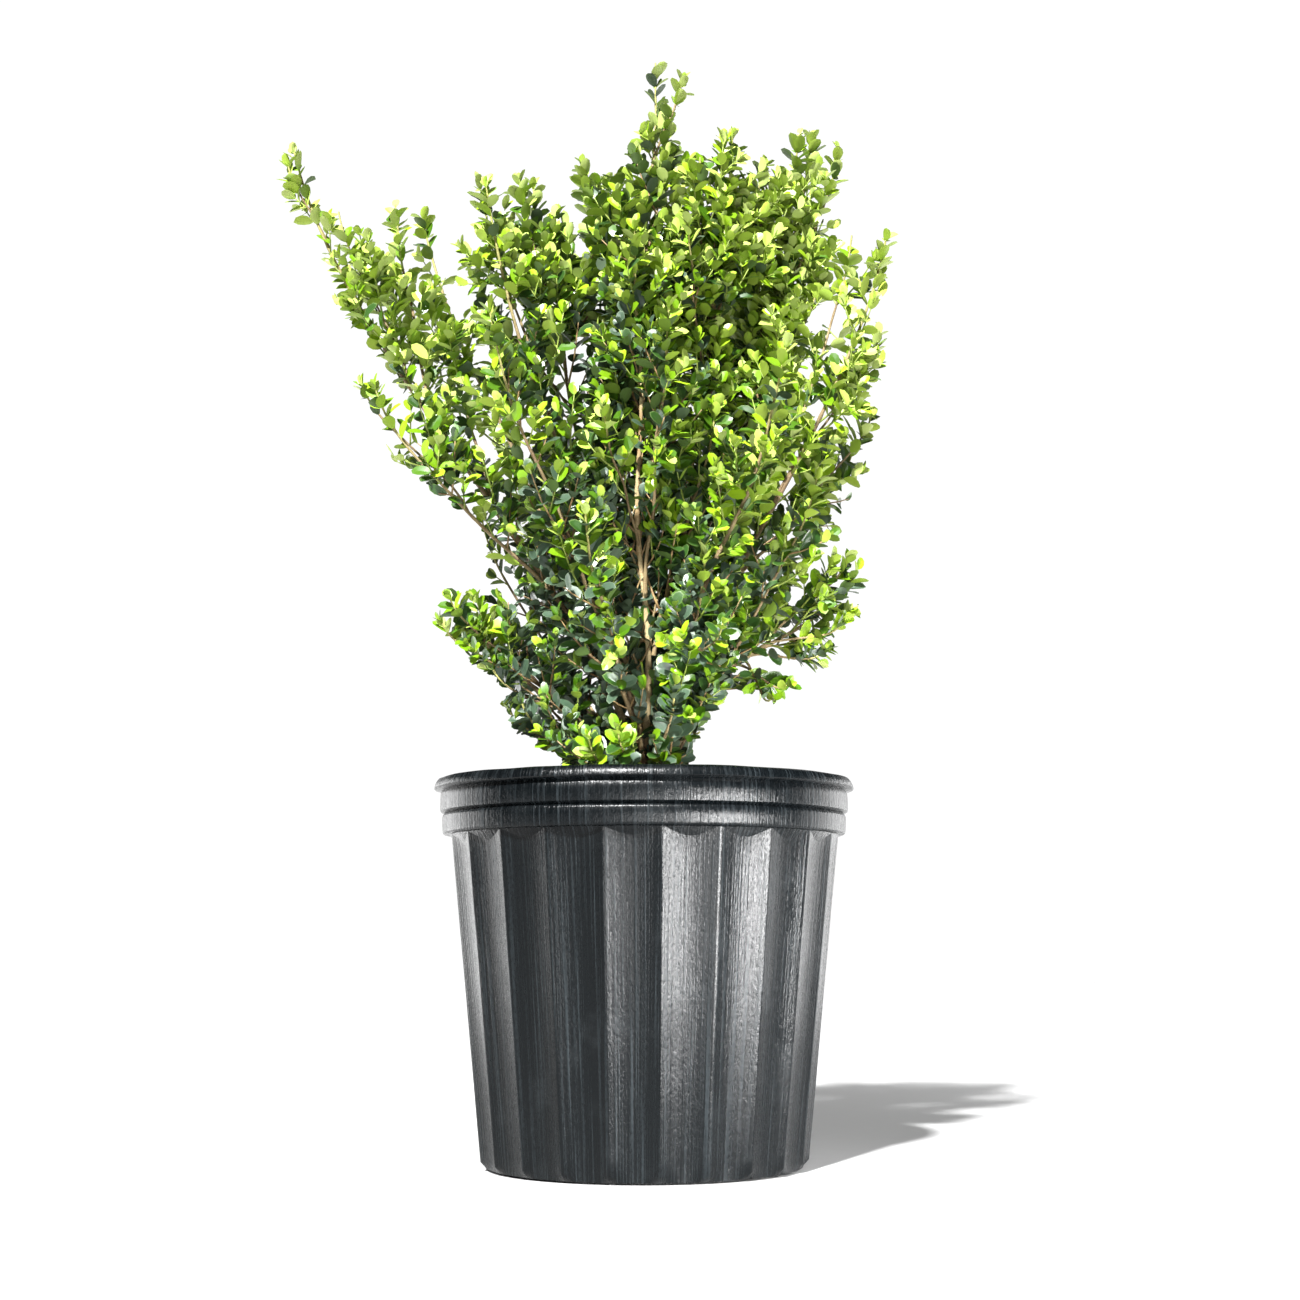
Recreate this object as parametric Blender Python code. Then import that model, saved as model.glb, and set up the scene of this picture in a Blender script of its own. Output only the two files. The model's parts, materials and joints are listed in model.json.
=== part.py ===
"""A young box shrub, unclipped, growing from a black fluted nursery pot.

Metres, +Z up. The origin is the centre of the pot's flat underside, and -Y is the front.
The pot holds potting mix, the trunk stands on the mix, and the boughs stand 0.3 mm clear of
the limbs that they leave. Each bough ends where it enters its mass of foliage, whose own stem
carries on along the same line to the bough's furthest tip.
"""

import math
import random
from typing import NamedTuple

import bmesh
import bpy
import numpy as np
from mathutils import Quaternion, Vector
from mathutils.bvhtree import BVHTree

# Pot
POT_HEIGHT = 0.255
RIM_RADIUS = 0.141
BODY_TOP_RADIUS = 0.1303
BODY_TOP = 0.2125
BASE_RADIUS = 0.1087
FOOT_RADIUS = 0.100
FOOT_CHAMFER = 0.006
WALL = 0.002
FLOOR = 0.003
FLUTES = 22
FLUTE_STEPS = 4
FLUTE_DEPTH = 0.0045
SEAM_AZIMUTH = math.radians(-84.8)
DRAIN_HOLES = 6
DRAIN_SIDES = 8
DRAIN_RADIUS = 0.006
DRAIN_CIRCLE = 0.086

# Potting mix
MIX_EDGE = 0.226
MIX_TOP = 0.230
MIX_FLAT = 0.030
MIX_SIDES = 32
CLEARANCE = 0.0003

# Limbs
TRUNK_SIDES = 8
LIMB_SIDES = 5
LIMB_STEP = 0.040
FLARE = 0.009
FLARE_HEIGHT = 0.018
FLARE_RINGS = (0.0, 0.008, 0.02, 0.04, 0.07, 0.12)
TIP_RADIUS = 0.0007
RISE_AT_FOOT = 0.45
RISE_AT_TIP = 0.55
SWAY = 0.003
LINE_STEPS = 24
BOUGH_SEED = 2
SHOOT_SEED = 60

# Foliage
LEAF_LENGTH = 0.035
LEAF_WIDTH = 0.023
LEAF_THICKNESS = 0.0014
LEAF_WIDEST = 0.52
LEAF_STAGGER = 0.0014
LEAF_ANGLE = math.radians(50)
LEAF_LEAN_SPREAD = 0.3
LEAF_ROLL = 0.8
LEAF_TOUCH_GAP = 0.0005
STEM_SIDES = 3
STEM_STEP = 0.040
NODE_STEP = 0.051
SIDE_STAGGER = 0.006
TWIGS_A_NODE = 2
TWIG_LENGTH = 0.034
TWIG_RADIUS = 0.0007
TWIG_SHARE = 0.5
STEM_END_RADIUS = 0.0012
TWIG_ANGLE = math.radians(42)
TWIG_TURN_SPREAD = 0.25
TWIG_LENGTH_SPREAD = (0.85, 1.1)
TWIG_BARE = 0.002
TWIG_TOUCH_GAP = 0.0004
TWIG_RISE = 0.15
WHORL_PLACE = 0.72
FULL_REACH = 0.16
SHORTER = 0.93
TRIES = 6
CHECK_REACH = 0.090
UP = Vector((0.0, 0.0, 1.0))

# Space of a mass
CROWN_RIGHT = 0.184
SPACE_REACH = 0.066
SPACE_GAP = 0.0012
LIMB_GAP = 0.0015
LIMB_PIECE = 0.012
STEM_PIECES = 16
RIM_GAP = 0.008


class Bough(NamedTuple):
    """One tapering limb and where it goes.

    fork is the height above the mix on the trunk, or the share of the way along another bough.
    bare is the share of its own length that stays bare, before it enters its foliage.
    """

    name: str
    parent: str
    fork: float
    tip: tuple
    radius: float
    bare: float


TRUNK_TIP = Vector((-0.006, -0.062, 0.620))
TRUNK_FOOT = Vector((0.003, -0.006, MIX_TOP + CLEARANCE))
TRUNK_RADIUS = 0.0030
TRUNK_BARE = 0.70

BOUGHS = (
    Bough("far_left", "trunk", 0.024, (-0.243, -0.020, 0.690), 0.0031, 0.34),
    Bough("left_mid", "far_left", 0.20, (-0.176, -0.078, 0.506), 0.0019, 0.30),
    Bough("left_inner", "far_left", 0.20, (-0.162, 0.050, 0.672), 0.0024, 0.38),
    Bough("left_upper", "trunk", 0.042, (-0.107, -0.050, 0.654), 0.0028, 0.42),
    Bough("left_centre", "left_upper", 0.24, (-0.080, 0.034, 0.685), 0.0022, 0.38),
    Bough("leader", "trunk", 0.190, (0.008, 0.040, 0.782), 0.0022, 0.24),
    Bough("centre_left", "leader", 0.20, (-0.047, 0.105, 0.722), 0.0022, 0.40),
    Bough("right_upper", "trunk", 0.038, (0.122, 0.050, 0.728), 0.0030, 0.40),
    Bough("right_centre", "right_upper", 0.20, (0.062, -0.006, 0.707), 0.0024, 0.38),
    Bough("right_inner", "right_upper", 0.30, (0.088, 0.115, 0.690), 0.0020, 0.34),
    Bough("far_right", "trunk", 0.021, (0.166, -0.028, 0.625), 0.0028, 0.38),
    Bough("right_mid", "far_right", 0.32, (0.148, 0.040, 0.492), 0.0018, 0.24),
    Bough("right_low", "far_right", 0.12, (0.144, -0.020, 0.396), 0.0022, 0.32),
    Bough("left_low", "trunk", 0.012, (-0.128, -0.040, 0.378), 0.0025, 0.36),
    Bough("front_low", "trunk", 0.015, (-0.036, -0.145, 0.410), 0.0024, 0.36),
    Bough("front_left", "front_low", 0.20, (-0.098, -0.120, 0.545), 0.0020, 0.30),
    Bough("front_right", "trunk", 0.031, (0.090, -0.125, 0.520), 0.0026, 0.36),
    Bough("back_low", "trunk", 0.014, (0.000, 0.155, 0.410), 0.0024, 0.38),
    Bough("back_left", "back_low", 0.20, (-0.110, 0.140, 0.570), 0.0021, 0.36),
    Bough("back_right", "trunk", 0.029, (0.100, 0.145, 0.570), 0.0026, 0.42),
)


class Shoot(NamedTuple):
    """A leafy shoot straight from the trunk, with no bare limb of its own."""

    name: str
    rise: float
    tip: tuple


SHOOTS = (
    Shoot("low_left", 0.004, (-0.080, -0.046, 0.302)),
    Shoot("low_right", 0.006, (0.046, -0.048, 0.332)),
    Shoot("low_front", 0.004, (0.020, -0.084, 0.310)),
    Shoot("low_back", 0.004, (-0.036, 0.082, 0.308)),
    Shoot("inner_left", 0.006, (-0.092, 0.044, 0.350)),
    Shoot("inner_right", 0.010, (0.104, 0.030, 0.420)),
    Shoot("inner_front", 0.010, (0.040, -0.090, 0.395)),
    Shoot("inner_back", 0.030, (-0.034, 0.072, 0.440)),
    Shoot("outer_left", 0.014, (-0.114, 0.034, 0.440)),
    Shoot("outer_right", 0.014, (0.114, -0.064, 0.450)),
    Shoot("middle_right", 0.110, (0.048, -0.056, 0.500)),
    Shoot("middle_back", 0.120, (-0.066, 0.034, 0.520)),
    Shoot("middle_front", 0.150, (0.016, -0.112, 0.550)),
)
SHOOT_RADIUS = 0.0016


# ---------------------------------------------------------------- materials and objects


def material(name, colour, roughness, metallic=0.0):
    """A Principled material with plain values."""
    made = bpy.data.materials.new(name)
    made.use_nodes = True
    shader = made.node_tree.nodes["Principled BSDF"]
    shader.inputs["Base Color"].default_value = (*colour, 1.0)
    shader.inputs["Roughness"].default_value = roughness
    shader.inputs["Metallic"].default_value = metallic
    return made


def add_object(name, shape, finish=None):
    """The object of a bmesh, with its material, linked to the scene."""
    mesh = bpy.data.meshes.new(name)
    bmesh.ops.recalc_face_normals(shape, faces=shape.faces)
    shape.to_mesh(mesh)
    shape.free()
    if finish is not None:
        mesh.materials.append(finish)
    made = bpy.data.objects.new(name, mesh)
    bpy.context.scene.collection.objects.link(made)
    return made


def shade_round(made, sharp_above=math.radians(35)):
    """Smooth shading, with edges sharper than the angle left sharp."""
    made.data.shade_smooth()
    made.data.set_sharp_from_angle(angle=sharp_above)


def new_collection(name):
    """An empty collection in the scene."""
    made = bpy.data.collections.new(name)
    bpy.context.scene.collection.children.link(made)
    return made


def move_to(collection, item):
    """Moves an object from the scene's own collection to another."""
    bpy.context.scene.collection.objects.unlink(item)
    collection.objects.link(item)


def apply_boolean(made, operation, collection):
    """Applies one Boolean with a collection to an object, and removes the collection."""
    step = made.modifiers.new("join", "BOOLEAN")
    step.operation = operation
    step.operand_type = "COLLECTION"
    step.collection = collection
    graph = bpy.context.evaluated_depsgraph_get()
    result = bpy.data.meshes.new_from_object(made.evaluated_get(graph))
    made.modifiers.clear()
    made.data = result
    for item in list(collection.objects):
        bpy.data.objects.remove(item)
    bpy.data.collections.remove(collection)


# ---------------------------------------------------------------- pot and potting mix


def spun(profile, steps):
    """A solid of revolution about Z. The profile runs from axis to axis, (radius, height)."""
    shape = bmesh.new()
    points = [shape.verts.new((radius, 0.0, height)) for radius, height in profile]
    edges = [shape.edges.new(pair) for pair in zip(points, points[1:])]
    bmesh.ops.spin(
        shape, geom=points + edges, cent=(0, 0, 0), axis=(0, 0, 1),
        angle=math.tau, steps=steps, use_merge=True,
    )
    bmesh.ops.remove_doubles(shape, verts=shape.verts, dist=1e-6)
    return shape


def turn_to_seam(shape):
    """Turns the spun wall so that one of its columns is on the mould's parting line."""
    cosine, sine = math.cos(SEAM_AZIMUTH), math.sin(SEAM_AZIMUTH)
    for point in shape.verts:
        x, y = point.co.x, point.co.y
        point.co.x, point.co.y = x * cosine - y * sine, x * sine + y * cosine


def flute_depth_at(azimuth):
    """Depth of the flutes at an azimuth: nothing on a ridge, full midway between two."""
    across = ((azimuth - SEAM_AZIMUTH) / math.tau * FLUTES) % 1.0
    return FLUTE_DEPTH * (1.0 - (2.0 * across - 1.0) ** 2)


def press_flutes(shape):
    """Presses the flutes into the outer wall of the pot's body."""
    for point in shape.verts:
        radius = math.hypot(point.co.x, point.co.y)
        outer = BASE_RADIUS + (BODY_TOP_RADIUS - BASE_RADIUS) * point.co.z / BODY_TOP
        if FOOT_CHAMFER / 2 < point.co.z <= BODY_TOP + 1e-6 and radius > outer - 1e-4:
            azimuth = math.atan2(point.co.y, point.co.x)
            share = (radius - flute_depth_at(azimuth)) / radius
            point.co.x *= share
            point.co.y *= share


def inner_wall():
    """The pot's inner profile, floor to rim, clear of the flutes by the wall."""
    inset = FLUTE_DEPTH + WALL
    return [
        (BASE_RADIUS - inset, FLOOR),
        (BODY_TOP_RADIUS - inset, BODY_TOP),
        (RIM_RADIUS - 0.0085, BODY_TOP + 0.008),
        (RIM_RADIUS - 0.0070, POT_HEIGHT - 0.004),
    ]


def drain_cutters():
    """Round cutters for the drain holes in the floor."""
    cutters = new_collection("drain_cutters")
    for number in range(DRAIN_HOLES):
        azimuth = math.tau * (number + 0.5) / DRAIN_HOLES
        shape = bmesh.new()
        bmesh.ops.create_cone(
            shape, cap_ends=True, segments=DRAIN_SIDES,
            radius1=DRAIN_RADIUS, radius2=DRAIN_RADIUS, depth=4 * FLOOR,
        )
        place = Vector((math.cos(azimuth), math.sin(azimuth), 0.0)) * DRAIN_CIRCLE
        bmesh.ops.translate(shape, verts=shape.verts, vec=place)
        move_to(cutters, add_object("drain_cutter", shape))
    return cutters


def pot(finish):
    """The fluted pot: flat foot, body, two moulded bands and a turned-down lip."""
    foot_wall = BASE_RADIUS + (BODY_TOP_RADIUS - BASE_RADIUS) * FOOT_CHAMFER / BODY_TOP
    outer = [
        (0.0, 0.0),
        (FOOT_RADIUS, 0.0),
        (foot_wall, FOOT_CHAMFER),
        (BODY_TOP_RADIUS, BODY_TOP),
        (RIM_RADIUS - 0.0062, BODY_TOP + 0.0065),
        (RIM_RADIUS - 0.0055, BODY_TOP + 0.0172),
        (RIM_RADIUS - 0.0072, BODY_TOP + 0.0188),
        (RIM_RADIUS - 0.0042, BODY_TOP + 0.0203),
        (RIM_RADIUS - 0.0042, BODY_TOP + 0.0340),
        (RIM_RADIUS, BODY_TOP + 0.0352),
        (RIM_RADIUS - 0.0022, POT_HEIGHT - 0.0015),
        (RIM_RADIUS - 0.0044, POT_HEIGHT),
    ]
    inside = inner_wall()[::-1] + [(0.0, FLOOR)]
    shape = spun(outer + inside, FLUTES * FLUTE_STEPS)
    turn_to_seam(shape)
    press_flutes(shape)
    made = add_object("pot", shape, finish)
    apply_boolean(made, "DIFFERENCE", drain_cutters())
    shade_round(made)
    return made


def potting_mix(finish):
    """The block of potting mix that fills the pot, flat where the trunk stands."""
    wall = [(radius - CLEARANCE, height) for radius, height in inner_wall()]
    wall[0] = (wall[0][0], FLOOR + CLEARANCE)
    low, high = wall[2], wall[3]
    share = (MIX_EDGE - low[1]) / (high[1] - low[1])
    edge = (low[0] + (high[0] - low[0]) * share, MIX_EDGE)
    top = [
        (edge[0] * 0.72, MIX_EDGE + (MIX_TOP - MIX_EDGE) * 0.6),
        (MIX_FLAT, MIX_TOP),
        (0.0, MIX_TOP),
    ]
    profile = [(0.0, FLOOR + CLEARANCE)] + wall[:3] + [edge] + top
    made = add_object("potting_mix", spun(profile, MIX_SIDES), finish)
    shade_round(made)
    return made


# ---------------------------------------------------------------- lines of growth


def bezier(points, share):
    """A point of the cubic through four control points."""
    rest = 1.0 - share
    weights = (rest**3, 3 * rest**2 * share, 3 * rest * share**2, share**3)
    return sum((p * w for p, w in zip(points, weights)), Vector((0.0, 0.0, 0.0)))


def growth_line(foot, tip, seed):
    """The line of a limb: it leaves rising, leans out towards its tip, and rises again there."""
    chord = tip - foot
    reach = chord.length
    along = chord.normalized()
    start = (along * (1 - RISE_AT_FOOT) + UP * RISE_AT_FOOT).normalized()
    end = (along * (1 - RISE_AT_TIP) + UP * RISE_AT_TIP).normalized()
    control = (foot, foot + start * reach * 0.3, tip - end * reach * 0.3, tip)
    side = along.cross(UP).normalized()
    phase = random.Random(seed).uniform(0.0, math.tau)
    size = SWAY * min(1.0, reach / 0.3)
    line = []
    for step in range(LINE_STEPS + 1):
        share = step / LINE_STEPS
        sway = size * math.sin(math.pi * share) * math.sin(2.2 * math.tau * share + phase)
        line.append(bezier(control, share) + side * sway)
    return line


def point_at(line, share):
    """The point at a share of a line's steps."""
    place = min(max(share, 0.0), 1.0) * (len(line) - 1)
    step = min(int(place), len(line) - 2)
    return line[step].lerp(line[step + 1], place - step)


def line_length(line):
    """The length of a line of points."""
    return sum((b - a).length for a, b in zip(line, line[1:]))


def piece_of(line, start, end, step):
    """Points of a line between two shares, about one step apart."""
    length = line_length(line) * (end - start)
    count = max(2, round(length / step))
    return [point_at(line, start + (end - start) * n / count) for n in range(count + 1)]


def square_to(direction, axis):
    """A direction made square to an axis."""
    return (direction - axis * direction.dot(axis)).normalized()


def turned(direction, axis, angle):
    """A direction turned about an axis."""
    return Quaternion(axis, angle) @ direction


def side_direction(tangent, across, side):
    """The direction that a flat side of a three-sided twig faces."""
    return turned(across, tangent, math.tau * (side + 0.5) / STEM_SIDES)


def frames_along(points, across=None):
    """A tangent and two cross directions at each point, turned as little as possible."""
    frames = []
    for number, _ in enumerate(points):
        before, after = points[max(number - 1, 0)], points[min(number + 1, len(points) - 1)]
        tangent = (after - before).normalized()
        if across is None:
            across = tangent.orthogonal()
        across = square_to(across, tangent)
        frames.append((tangent, across, tangent.cross(across)))
    return frames


def tube(points, radii, sides, across=None):
    """A closed tube through points, with a flat cut at each end and a corner at across."""
    shape = bmesh.new()
    rings = []
    for point, radius, (_, first, other) in zip(points, radii, frames_along(points, across)):
        ring = []
        for side in range(sides):
            turn = math.tau * side / sides
            offset = first * math.cos(turn) + other * math.sin(turn)
            ring.append(shape.verts.new(point + offset * radius))
        rings.append(ring)
    for low, high in zip(rings, rings[1:]):
        for side in range(sides):
            after = (side + 1) % sides
            shape.faces.new((low[side], low[after], high[after], high[side]))
    shape.faces.new(rings[0][::-1])
    shape.faces.new(rings[-1])
    return shape


# ---------------------------------------------------------------- trunk and boughs


class Limb(NamedTuple):
    """The line of the trunk or a bough, its radius at the foot, and the share that is bare."""

    line: list
    radius: float
    bare: float
    is_trunk: bool = False

    def radius_at(self, share):
        """The limb's radius at a share of the way from its foot to its furthest tip."""
        radius = TIP_RADIUS + (self.radius - TIP_RADIUS) * (1.0 - share) ** 0.8
        if self.is_trunk:
            rise = point_at(self.line, share).z - self.line[0].z
            radius += FLARE * math.exp(-rise / FLARE_HEIGHT)
        return radius

    def shares(self):
        """Where along the line the rings of its solid lie."""
        count = max(2, round(line_length(self.line) * self.bare / LIMB_STEP))
        even = [self.bare * n / count for n in range(count + 1)]
        if not self.is_trunk:
            return even
        return list(FLARE_RINGS) + [share for share in even if share > FLARE_RINGS[-1] + 0.02]

    def solid(self, grown=0.0):
        """The bare part of the limb as a closed tube, made fatter by what it is grown."""
        shares = self.shares()
        points = [point_at(self.line, share) for share in shares]
        radii = [self.radius_at(share) + grown for share in shares]
        shape = tube(points, radii, TRUNK_SIDES if self.is_trunk else LIMB_SIDES)
        if self.is_trunk:
            shape.verts.ensure_lookup_table()
            for point in shape.verts[:TRUNK_SIDES]:
                point.co.z = self.line[0].z
        return shape


def grow_limbs():
    """The trunk and each bough, by name."""
    trunk_line = growth_line(TRUNK_FOOT, TRUNK_TIP, 1)
    limbs = {"trunk": Limb(trunk_line, TRUNK_RADIUS, TRUNK_BARE, is_trunk=True)}
    for number, bough in enumerate(BOUGHS):
        parent = limbs[bough.parent]
        share = bough.fork
        if parent.is_trunk:
            share = bough.fork / (TRUNK_TIP.z - TRUNK_FOOT.z)
        foot = point_at(parent.line, share)
        line = growth_line(foot, Vector(bough.tip), BOUGH_SEED + number)
        limbs[bough.name] = Limb(line, bough.radius, bough.bare)
    return limbs


def limb_object(name, limbs, finish, earlier):
    """The object of a limb, cut clear of the limbs that were made before it."""
    made = add_object(name, limbs[name].solid(), finish)
    if earlier:
        cutters = new_collection("fork_cutters")
        for other in earlier:
            move_to(cutters, add_object("fork_cutter", limbs[other].solid(grown=CLEARANCE)))
        apply_boolean(made, "DIFFERENCE", cutters)
        drop_scraps(made)
    shade_round(made)
    return made


def drop_scraps(made):
    """Keeps the largest of an object's loose bodies."""
    shape = bmesh.new()
    shape.from_mesh(made.data)
    left = set(shape.verts)
    bodies = []
    while left:
        body = set()
        edge_of_body = [left.pop()]
        while edge_of_body:
            point = edge_of_body.pop()
            body.add(point)
            near = {edge.other_vert(point) for edge in point.link_edges} & left
            left -= near
            edge_of_body += near
        bodies.append(body)
    bodies.sort(key=len)
    for body in bodies[:-1]:
        bmesh.ops.delete(shape, geom=list(body), context="VERTS")
    shape.to_mesh(made.data)
    shape.free()


# ---------------------------------------------------------------- foliage


class Leaf(NamedTuple):
    """A thick leaf: a lengthened diamond, flat below, with a ridge above its widest place."""

    root: Vector
    direction: Vector
    face: Vector
    size: float

    def corners(self, grown=0.0):
        """Root, left, tip, right and ridge, and the foot of the ridge when it is grown."""
        length = LEAF_LENGTH * self.size
        half = LEAF_WIDTH * self.size / 2 + grown
        across = self.direction.cross(self.face)
        widest = self.root + self.direction * length * LEAF_WIDEST
        return [
            self.root,
            widest - across * half,
            self.root + self.direction * (length + grown),
            widest + across * half,
            widest + self.face * (LEAF_THICKNESS + grown),
            widest - self.face * grown,
        ]

    def solid(self):
        """The closed leaf."""
        shape = bmesh.new()
        root, left, tip, right, ridge = [shape.verts.new(c) for c in self.corners()[:5]]
        shape.faces.new((root, right, tip, left))
        for a, b in ((root, left), (left, tip), (tip, right), (right, root)):
            shape.faces.new((a, b, ridge))
        return shape

    def touch_shape(self, grown=LEAF_TOUCH_GAP):
        """A slightly larger leaf, to test what it would touch."""
        ring = ((0, 1), (1, 2), (2, 3), (3, 0))
        faces = [(a, b, 4) for a, b in ring] + [(b, a, 5) for a, b in ring]
        return BVHTree.FromPolygons([tuple(c) for c in self.corners(grown)], faces)

    def samples(self):
        """Points spread over the leaf, to test which space it lies in."""
        root, left, tip, right, _, _ = self.corners()
        middle = (root + tip) / 2
        return [
            root.lerp(tip, 0.25), middle, root.lerp(tip, 0.75), tip, left, right,
            left.lerp(tip, 0.5), right.lerp(tip, 0.5), left.lerp(root, 0.5), right.lerp(root, 0.5),
        ]


class Blade(NamedTuple):
    """A three-sided twig or stem that widens at its end into a leaf, as one solid."""

    points: list
    radii: tuple
    across: Vector
    size: float

    def end_leaf(self):
        """The leaf at the end."""
        direction = (self.points[-1] - self.points[-2]).normalized()
        across = frames_along(self.points, self.across)[-1][1]
        return Leaf(self.points[-1], direction, square_to(across, direction), self.size)

    def solid(self):
        """The closed solid: the twig's rings, the leaf's widest place and its tip."""
        shape = tube(self.points, self.radii, STEM_SIDES, self.across)
        shape.faces.ensure_lookup_table()
        shape.verts.ensure_lookup_table()
        bmesh.ops.delete(shape, geom=[shape.faces[-1]], context="FACES_ONLY")
        ring = list(shape.verts)[-STEM_SIDES:]
        _, left, tip, right, ridge, _ = self.end_leaf().corners()
        widest = [shape.verts.new(corner) for corner in (ridge, right, left)]
        end = shape.verts.new(tip)
        for side in range(STEM_SIDES):
            after = (side + 1) % STEM_SIDES
            shape.faces.new((ring[side], ring[after], widest[after]))
            shape.faces.new((ring[side], widest[after], widest[side]))
            shape.faces.new((widest[side], widest[after], end))
        return shape

    def touch_shape(self, start):
        """The twig from a start clear of its stem, with its leaf, slightly larger."""
        points = [start] + self.points[1:]
        radii = [radius + TWIG_TOUCH_GAP for radius in self.radii]
        shape = Blade(points, radii, self.across, self.size).solid()
        bmesh.ops.recalc_face_normals(shape, faces=shape.faces)
        bmesh.ops.triangulate(shape, faces=shape.faces)
        tree = BVHTree.FromBMesh(shape)
        shape.free()
        return tree

    def samples(self, start):
        """Points along the twig and over its leaf, to test which space they lie in."""
        return [start.lerp(self.points[-1], share) for share in (0.1, 0.5)] + self.end_leaf().samples()


class Lines:
    """The straight steps of some lines, to measure how far points are from them."""

    def __init__(self, lines, radii=None):
        starts = [tuple(a) for line in lines for a in line[:-1]]
        ends = [tuple(b) for line in lines for b in line[1:]]
        self.starts = np.array(starts)
        self.steps = np.array(ends) - self.starts
        self.lengths = (self.steps**2).sum(axis=1)
        self.radii = np.array(radii) if radii else np.zeros(len(starts))

    def distance(self, points):
        """The distance from each point to the nearest line's surface."""
        offsets = np.array([tuple(p) for p in points])[:, None, :] - self.starts[None]
        along = np.clip((offsets * self.steps).sum(axis=2) / self.lengths, 0.0, 1.0)
        gaps = offsets - along[:, :, None] * self.steps
        return (np.sqrt((gaps**2).sum(axis=2)) - self.radii).min(axis=1)


def above_pot(point):
    """Whether a point is above the mix and clear of the rim."""
    inside = math.hypot(point.x, point.y) < RIM_RADIUS - 0.025
    return point.z > (MIX_TOP if inside else POT_HEIGHT) + RIM_GAP


class Space:
    """What a mass may fill: nearer its own stem than any other, clear of limbs, in the crown."""

    def __init__(self, own, others, limb_lines):
        self.own = Lines([own])
        self.others = Lines(others)
        self.limb_lines = limb_lines

    def holds(self, points):
        """Whether all the points lie in the space."""
        if not all(above_pot(point) and point.x < CROWN_RIGHT for point in points):
            return False
        reach = self.own.distance(points)
        if reach.max() > SPACE_REACH:
            return False
        if (self.others.distance(points) < reach + 2 * SPACE_GAP).any():
            return False
        return self.limb_lines.distance(points).min() > LIMB_GAP


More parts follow.
